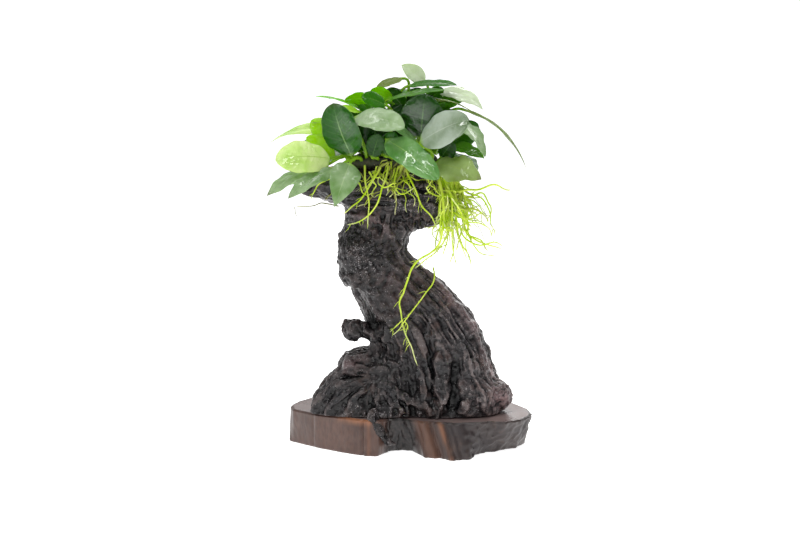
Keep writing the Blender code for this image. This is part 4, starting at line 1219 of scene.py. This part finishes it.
def leaf_material(name):
    """A leaf, satin where it is dry and crumpled and glossy where it is wet, with light shining through."""
    made, tree, shader, output = new_material("leaf_" + name)
    where, wet, veins = place(tree), attribute(tree, "wet"), vein_wave(tree)
    colour = leaf_colour(tree, LOOKS[name], where, veins)
    rough = between(tree, cloud(tree, where, 130, 3), 0.35, 0.65, 0.13, 0.28)
    depth = maths(tree, "MULTIPLY_ADD", wet, 7.0, 0.6)
    crumple = maths(tree, "MULTIPLY", cloud(tree, where, 190, 3, 0.55), depth)
    normal = bump(tree, maths(tree, "ADD", crumple, maths(tree, "MULTIPLY", veins, 0.05)), 0.45 * MM, 0.7)
    set_inputs(tree, shader, {
        "Base Color": colour,
        "Roughness": maths(tree, "SUBTRACT", rough, maths(tree, "MULTIPLY", wet, 0.09)),
        "Specular IOR Level": between(tree, wet, 0, 1, 0.22, 0.5),
        "Coat Weight": between(tree, wet, 0, 1, 0.12, 1.0),
        "Coat Roughness": 0.04,
        "Normal": normal})
    glow = add_node(tree, "BsdfTranslucent", {"Color": blend(tree, 0.55, colour, srgb(*GLOW_COLOUR)),
                                              "Normal": normal})
    through = LOOKS[name][-1]
    mixed = add_node(tree, "MixShader", {0: through, 1: shader.outputs[0], 2: glow.outputs[0]})
    tree.links.new(mixed.outputs[0], output.inputs["Surface"])
    return made


LEAF_VALUES = ("along", "across", "wet", "pale", "dry")


def make_leaves():
    shaders = {name: leaf_material(name) for name in LOOKS}
    for i, (name, spec) in enumerate(LEAVES.items()):
        look = LEAF_LOOKS.get(name, BACK_LOOKS[i % len(BACK_LOOKS)])
        skin = Skin(*LEAF_VALUES)
        add_leaf(skin, spec, look, i * 1.7, TIP_SCORCH.get(name, 0.0), POINTED.get(name, WIDTH_FALL))
        stand_for(skin.to_object(name.replace("leaf", "blade"), shaders[look[0]]), "leaf", name)
    for kind in sorted({row[-1] for row in INNER_LEAVES}):
        skin = Skin(*LEAF_VALUES)
        for i, row in enumerate(INNER_LEAVES):
            if row[-1] == kind:
                add_leaf(skin, row[:-1], (kind, 0.2, 0.06, []), seed=40 + i * 2.3)
        stand_for(skin.to_object("inner_leaves_" + kind, shaders[kind]), "leaf")


# ---------------------------------------------------------------- the roots

# The main roots: radius at the rhizome, and the points that each hangs through.
ROOTS = {
    "root_01": (0.8, [(24, -22.4, 197), (26.5, -28.5, 190), (29, -34, 177), (29, -37, 158), (25, -38, 144),
                      (14, -39, 136), (7, -39.5, 128), (3, -39.5, 116), (0, -39, 106), (2, -38.5, 92),
                      (7, -39.5, 78), (12, -40, 63)]),
    "root_02": (0.7, [(30, -18.8, 195.3), (34, -24, 186), (38.5, -28.5, 174), (39, -30, 160),
                      (41, -30, 146), (46, -29, 135)]),
    "root_03": (0.7, [(36, -12.5, 194), (40, -18, 186), (44, -23, 176), (46, -25, 162), (48, -25, 148),
                      (56, -24, 139), (66, -23, 136)]),
    "root_04": (0.65, [(27, -21.3, 196.5), (31, -27, 188), (35.5, -33, 173), (35, -35, 156),
                       (36, -34, 142), (39, -33, 131)]),
    "root_05": (0.7, [(3, -25.6, 198.5), (7, -30.5, 190), (11, -33, 182), (15, -33.5, 173),
                      (23, -33, 162), (26, -32, 154)]),
    "root_06": (0.7, [(-13, -25.6, 198.5), (-18, -32, 190), (-25, -37.5, 179), (-33, -36, 172),
                      (-38, -34, 167)]),
    "root_07": (0.65, [(-24, -23.8, 198.9), (-23.5, -30, 190), (-22, -33, 181), (-21.5, -33.5, 170),
                       (-22, -33, 157)]),
    "root_08": (0.65, [(-8, -25.6, 198.5), (-10, -32, 189), (-14, -36, 178), (-20, -36.5, 167),
                       (-28, -35.5, 161), (-36, -32.5, 159)]),
    "root_09": (0.6, [(-1, -25.6, 198.5), (-4, -31.5, 189), (-1, -34, 182), (4, -35, 181), (10, -35.5, 185)]),
    "root_10": (0.6, [(-41, -18.5, 197.5), (-46, -27, 191), (-55, -24.5, 187), (-58, -24, 181),
                      (-61, -23, 176)]),
}
ROOT_END = 0.45           # how thick a root is at its free end, as a share
ROOT_SIDES = 8
# Smaller roots of their own course: radius, age (0 is fresh and lime, 1 is dry and grey), and points.
STRAYS = [
    (0.55, 0.0, [(23, -20, 128), (23.5, -27, 122), (20, -33, 115), (14, -36.5, 107.5), (8, -39, 100),
                 (3, -40, 93.5), (-1, -39.5, 88), (-5, -38.5, 84)]),
    (0.42, 0.0, [(3, -39.8, 94), (5, -39.5, 90), (3.5, -39.5, 86)]),
    (0.4, 0.0, [(2, -39.8, 95), (-2, -39, 91), (-7, -38, 86)]),
    (0.45, 0.2, [(24, -26, 197), (26, -30, 187), (27, -31, 175), (26, -31, 165), (24, -30, 158)]),
    (0.24, 0.9, [(42, -22, 183), (50, -24, 178), (57, -25, 168), (63, -26, 158), (78, -27, 155.5)]),
    (0.26, 0.8, [(44, -22, 176), (52, -20, 160), (58, -20, 146), (57, -19, 128)]),
    (0.5, 0.75, [(-42, -24, 171), (-48, -24, 172), (-54, -24, 173.5), (-60, -25, 172), (-72, -26, 170.5)]),
    (0.3, 0.8, [(-72, -26, 170.5), (-71.5, -26, 167), (-69.5, -26, 163)]),
    (0.6, 0.0, [(30, -24, 146), (24, -30, 140), (17, -34, 135), (10, -37, 130)]),
    (0.75, 0.0, [(42, -26, 166), (46, -25, 154), (53, -24, 147), (62, -23, 144), (70, -22, 141)]),
    (0.7, 0.0, [(40, -27, 160), (45, -26, 149), (55, -25, 144), (65, -24, 146), (71, -23, 143)]),
    (0.65, 0.0, [(38, -28, 158), (42, -27, 146), (47, -26, 138), (49, -25, 130)]),
    (0.6, 0.0, [(36, -29, 156), (37, -28, 142), (34, -28, 132)]),
    (0.6, 0.0, [(33, -29, 158), (32, -28, 146), (29, -28, 137)]),
]
# The mat of fine roots on the crown's front and the bunch that hangs from the right arm.
MAT = {"seed": 11, "count": 46, "radius": (0.36, 0.7), "length": (14, 44)}
BUNCH = {"seed": 5, "count": 88, "radius": (0.5, 1.05), "length": (26, 60)}
BACK_ROOTS = 14
CLEARANCE = 0.55          # how far roots keep from the wood
CREEP_STEP, HANG_STEP = 1.6, 1.7


def strand_rings(line, start, end):
    """The rings of a root that thins from one radius to another, with small knots."""
    rings, last = [], len(line) - 1
    frames = carried_frames(tangents(line), Vector((0.4, 0.8, 0.3)))
    for i, (centre, (side, up)) in enumerate(zip(line, frames)):
        tip = min(1.0, (last - i + 0.35) / 2.2)
        radius = (start + (end - start) * i / last) * tip * (1 + 0.12 * noise.noise(centre * 420))
        rings.append(round_ring(centre, side, up, radius, ROOT_SIDES))
    return rings


def add_strand(skin, line, start, end, age):
    rings = strand_rings(line, start, end)
    last = len(rings) - 1
    skin.add_rings(rings, {"along": [i / last for i in range(last + 1)], "age": [age] * (last + 1)})


def unsteady(line, seed, reach):
    """The line with small bends, as a living root has, but with its ends kept."""
    last = len(line) - 1
    moved = []
    for i, point in enumerate(line):
        hold = min(1.0, 4 * i / last, 4 * (last - i) / last + 0.3)
        sway = Vector([noise.noise(point * 95 + Vector((seed + 13 * k, 0, k))) for k in range(3)])
        moved.append(point + sway * reach * MM * hold)
    return moved


def random_way(rng):
    return Vector([rng.uniform(-1, 1) for _ in range(3)])


def add_rootlets(skin, line, rng, count, radius, age):
    """Short hairs that leave a root sideways."""
    for _ in range(count):
        i = rng.randrange(len(line) // 5, len(line) - 2)
        way = (line[i + 1] - line[i]).normalized()
        side = (way.orthogonal() + random_way(rng)).normalized()
        side = (side - way * side.dot(way) * 0.4 + Vector((0, -0.2, -0.35))).normalized()
        reach = rng.uniform(2.2, 6.5) * MM
        points = [line[i], line[i] + (side * 0.5 + way * 0.15) * reach, line[i] + (side + way * 0.55) * reach]
        add_strand(skin, smooth_line(points, 7), radius, radius * 0.5, age)


def make_main_roots(shader):
    """The ten packed roots, a little unsteady, with rootlets: more on the long one."""
    rng = random.Random(3)
    for number, (name, (radius, points)) in enumerate(ROOTS.items()):
        skin = Skin("along", "age")
        line = smooth_line([mm(p) for p in points], 9 * len(points))
        line = unsteady(line, number * 3.1, 1.1)
        add_strand(skin, line, radius * 1.15, radius * ROOT_END * 1.2, 0.0)
        add_rootlets(skin, line, rng, 14 if len(points) > 8 else 4, 0.26, 0.1)
        stand_for(skin.to_object(name.replace("root", "hanging_root"), shader), "root", name)


def creeping_line(surface, start, way, length, rng):
    """A course that creeps over the wood: it wanders, sinks slowly and never enters the wood."""
    line, travelled = [start], 0.0
    hover = rng.uniform(0.0, 4.0)
    while travelled < length:
        sway = random_way(rng)
        way = (way + sway * 0.58 + Vector((0, -0.02, -0.045))).normalized()
        point = line[-1] + way * CREEP_STEP * MM
        nearest, normal, _, _ = surface.find_nearest(point)
        gap = (point - nearest).dot(normal) / MM
        if gap < CLEARANCE:
            point = nearest + normal * CLEARANCE * MM
        elif gap > CLEARANCE + hover + 1.2:
            point = point - normal * min(gap - CLEARANCE - hover, 0.9) * MM
        way = (point - line[-1]).normalized()
        line.append(point)
        travelled += CREEP_STEP
    return smooth_line(line[::2] if len(line) > 6 else line, len(line) * 2)


def make_mat(surface, shader):
    """The mat of roots that grips the front of the crown."""
    rng = random.Random(MAT["seed"])
    skin = Skin("along", "age")
    for i in range(MAT["count"]):
        x = rng.gauss(-6, 8) if i % 3 else rng.uniform(-42, 32)
        y = -24 - rng.uniform(0, 4)
        z = 198.5 - 0.01 * (x + 5) ** 2 + rng.uniform(-3, 5)
        start = mm((max(-42, min(33, x)), y, z))
        lean = math.radians(rng.gauss(-32 if x < -4 else 4, 62))
        way = Vector((math.sin(lean), -0.35, -math.cos(lean))).normalized()
        line = creeping_line(surface, start, way, rng.uniform(*MAT["length"]), rng)
        radius = rng.uniform(*MAT["radius"])
        age = rng.choice((0.0, 0.0, 0.1, 0.25, 0.4, 0.6))
        add_strand(skin, line, radius, radius * 0.55, age)
        if i % 3 == 0:
            add_rootlets(skin, line, rng, 3, radius * 0.6, age)
    add_back_roots(skin, surface, rng)
    stand_for(skin.to_object("roots_matted", shader), "root")


def add_back_roots(skin, surface, rng):
    """The looser roots that creep down the crown's far side."""
    for _ in range(BACK_ROOTS):
        start = mm((rng.uniform(-28, 26), rng.uniform(14, 20), 198))
        lean = math.radians(rng.gauss(0, 45))
        way = Vector((math.sin(lean), 0.5, -math.cos(lean))).normalized()
        line = creeping_line(surface, start, way, rng.uniform(20, 60), rng)
        add_strand(skin, line, 0.6, 0.35, rng.choice((0.0, 0.2, 0.5)))


def hanging_line(surface, start, way, length, rng, drop=0.16):
    """A course that hangs free, curls a little and keeps clear of the wood."""
    line, travelled = [start], 0.0
    bend = random_way(rng)
    while travelled < length:
        bend = bend * 0.72 + random_way(rng) * 0.75
        way = (way + bend * 0.3 + Vector((0, 0, -drop))).normalized()
        point = line[-1] + way * HANG_STEP * MM
        nearest, normal, _, _ = surface.find_nearest(point)
        gap = (point - nearest).dot(normal) / MM
        if gap < CLEARANCE:
            point = nearest + normal * CLEARANCE * MM
        line.append(point)
        travelled += HANG_STEP
    return smooth_line(line[::2] if len(line) > 6 else line, len(line) * 2)


def make_bunch(surface, shader):
    """The dense bunch that hangs from the right arm, fanning out to the right."""
    rng = random.Random(BUNCH["seed"])
    skin = Skin("along", "age")
    for i in range(BUNCH["count"]):
        spread = rng.random() ** 0.8
        y = -24 + 8 * spread + rng.uniform(-2, 2)
        z = 190 - 4 * spread + rng.uniform(-4, 2)
        start = mm((27 + 14 * spread, y, z))
        aside = rng.gauss(0.16, 0.12) + (0.6 if i % 11 == 1 else 0.0)
        way = Vector((aside, rng.uniform(-0.4, 0.0), -0.9)).normalized()
        length = rng.uniform(*BUNCH["length"]) * (1.0 if i % 4 else 0.6)
        line = hanging_line(surface, start, way, length, rng)
        radius = rng.uniform(*BUNCH["radius"])
        add_strand(skin, line, radius, radius * 0.5, rng.choice((0.0, 0.0, 0.0, 0.1, 0.25)))
        if i % 2 == 0:
            add_rootlets(skin, line, rng, 4, radius * 0.55, 0.1)
        if i % 5 == 0:
            fork = line[len(line) * 2 // 3]
            side = Vector((rng.uniform(0.2, 1.0), rng.uniform(-0.4, 0.3), rng.uniform(-0.6, 0.1)))
            branch = hanging_line(surface, fork, side.normalized(), rng.uniform(10, 26), rng, drop=0.04)
            add_strand(skin, branch, radius * 0.6, radius * 0.3, 0.1)
    stand_for(skin.to_object("roots_bunch", shader), "root")


def make_strays(shader):
    """The single smaller roots, in one joined piece."""
    rng = random.Random(8)
    skin = Skin("along", "age")
    for number, (radius, age, points) in enumerate(STRAYS):
        line = unsteady(smooth_line([mm(p) for p in points], 8 * len(points)), 50 + number, 0.9)
        add_strand(skin, line, radius, radius * 0.6, age)
        if age == 0.0:
            add_rootlets(skin, line, rng, 4, 0.24, 0.1)
    stand_for(skin.to_object("roots_single", shader), "root")


def root_material():
    """Living roots: lime where they are fresh, olive and grey where they have dried, pale at the tip."""
    made, tree, shader, output = new_material("root_skin")
    where = place(tree)
    along, age = attribute(tree, "along"), attribute(tree, "age")
    share = between(tree, cloud(tree, where, 120, 3), 0.35, 0.65)
    fresh = blend(tree, share, srgb(200, 230, 14), srgb(234, 248, 104))
    colour = blend(tree, between(tree, age, 0.0, 0.6), fresh, srgb(140, 142, 62))
    colour = blend(tree, between(tree, age, 0.6, 1.0), colour, srgb(140, 140, 112))
    colour = blend(tree, between(tree, along, 0.72, 1.0, 0.0, 0.75), colour, srgb(236, 236, 190))
    set_inputs(tree, shader, {
        "Base Color": colour,
        "Roughness": 0.38,
        "Normal": bump(tree, cloud(tree, where, 900, 2), 0.15 * MM, 0.6)})
    glow = add_node(tree, "BsdfTranslucent", {"Color": colour})
    mixed = add_node(tree, "MixShader", {0: 0.3, 1: shader.outputs[0], 2: glow.outputs[0]})
    tree.links.new(mixed.outputs[0], output.inputs["Surface"])
    return made


# ---------------------------------------------------------------- stage

CAMERA_PLACE = (0.0, -1.30, 0.31)
CAMERA_DIP = 8.06         # degrees below level
CAMERA_LENS = 84.375
# Soft lights: place, the point that each faces, its two sides and its brightness.
LIGHTS = {
    "left_strip": ((-0.78, -1.0, 0.62), (0, 0, 0.2), (0.06, 0.9), 18.0),
    "front_strip": ((0.05, -1.0, 1.02), (0, 0, 0.2), (0.9, 0.045), 22.0),
    "upper_strip": ((-0.2, -0.55, 1.3), (0, 0, 0.15), (1.0, 0.05), 22.0),
    "middle_strip": ((0.15, -0.1, 1.4), (0, 0, 0.15), (1.2, 0.06), 21.0),
    "rear_strip": ((0.0, 0.42, 1.3), (0, 0, 0.15), (1.2, 0.2), 4.0),
    "back": ((0.5, 1.1, 0.75), (0, 0, 0.2), (0.9, 0.7), 3.2),
}
WORLD_GLOW = (0.16, 0.75)           # the world's light from in front of the object and from behind it
WORLD_SEEN, FLOOR_GLOW = 1.1, 0.85  # bright enough for the background to show as plain white
FLOOR_HALF_SIDE = 14.0              # in metres


def make_camera():
    camera = bpy.data.objects.new("camera", bpy.data.cameras.new("camera"))
    camera.location = CAMERA_PLACE
    camera.rotation_euler = (math.radians(90 - CAMERA_DIP), 0, 0)
    camera.data.lens = CAMERA_LENS
    camera.data.clip_start = 0.01
    bpy.context.scene.collection.objects.link(camera)
    bpy.context.scene.camera = camera


def make_lights():
    for name, (location, target, sides, brightness) in LIGHTS.items():
        light = bpy.data.lights.new(name, "AREA")
        light.shape = "RECTANGLE"
        light.size, light.size_y = sides
        light.energy = brightness * math.pi * sides[0] * sides[1]
        obj = bpy.data.objects.new(name, light)
        obj.location = location
        obj.rotation_euler = (Vector(target) - Vector(location)).to_track_quat("-Z", "Y").to_euler()
        obj.visible_camera = False
        bpy.context.scene.collection.objects.link(obj)


def make_world():
    """A white studio: bright behind the object, dimmer in front of it, and plain white where it shows."""
    world = bpy.data.worlds.new("studio")
    world.use_nodes = True
    tree = world.node_tree
    back = tree.nodes["Background"]
    ways = add_node(tree, "SeparateXYZ", {0: add_node(tree, "TexCoord").outputs["Generated"]})
    glow = between(tree, ways.outputs["Y"], -0.4, 0.7, *WORLD_GLOW)
    seen = add_node(tree, "LightPath").outputs["Is Camera Ray"]
    strength = add_node(tree, "Mix", {0: seen, 2: glow, 3: WORLD_SEEN}, data_type="FLOAT").outputs[0]
    set_inputs(tree, back, {"Color": (1, 1, 1, 1), "Strength": strength})
    bpy.context.scene.world = world
    bpy.context.scene.view_settings.view_transform = "Standard"


def make_floor():
    """A white floor that glows a little, so that it shows as plain white and keeps only a faint shade."""
    bm = bmesh.new()
    bmesh.ops.create_grid(bm, x_segments=1, y_segments=1, size=FLOOR_HALF_SIDE)
    mesh = bpy.data.meshes.new("floor")
    bm.to_mesh(mesh)
    bm.free()
    made, tree, shader, _ = new_material("pale_floor")
    set_inputs(tree, shader, {"Base Color": (0.9, 0.9, 0.9, 1), "Roughness": 0.9, "Specular IOR Level": 0.1,
                              "Emission Color": (1, 1, 1, 1), "Emission Strength": FLOOR_GLOW})
    mesh.materials.append(made)
    floor = bpy.data.objects.new("floor", mesh)
    bpy.context.scene.collection.objects.link(floor)


make_camera()
make_lights()
make_world()
make_floor()
wood_surface = make_driftwood()
stem_shader = rhizome_material()
for stem in RHIZOMES:
    make_rhizome(stem, stem_shader)
make_leaves()
root_shader = root_material()
make_main_roots(root_shader)
make_mat(wood_surface, root_shader)
make_bunch(wood_surface, root_shader)
make_strays(root_shader)
make_slab()
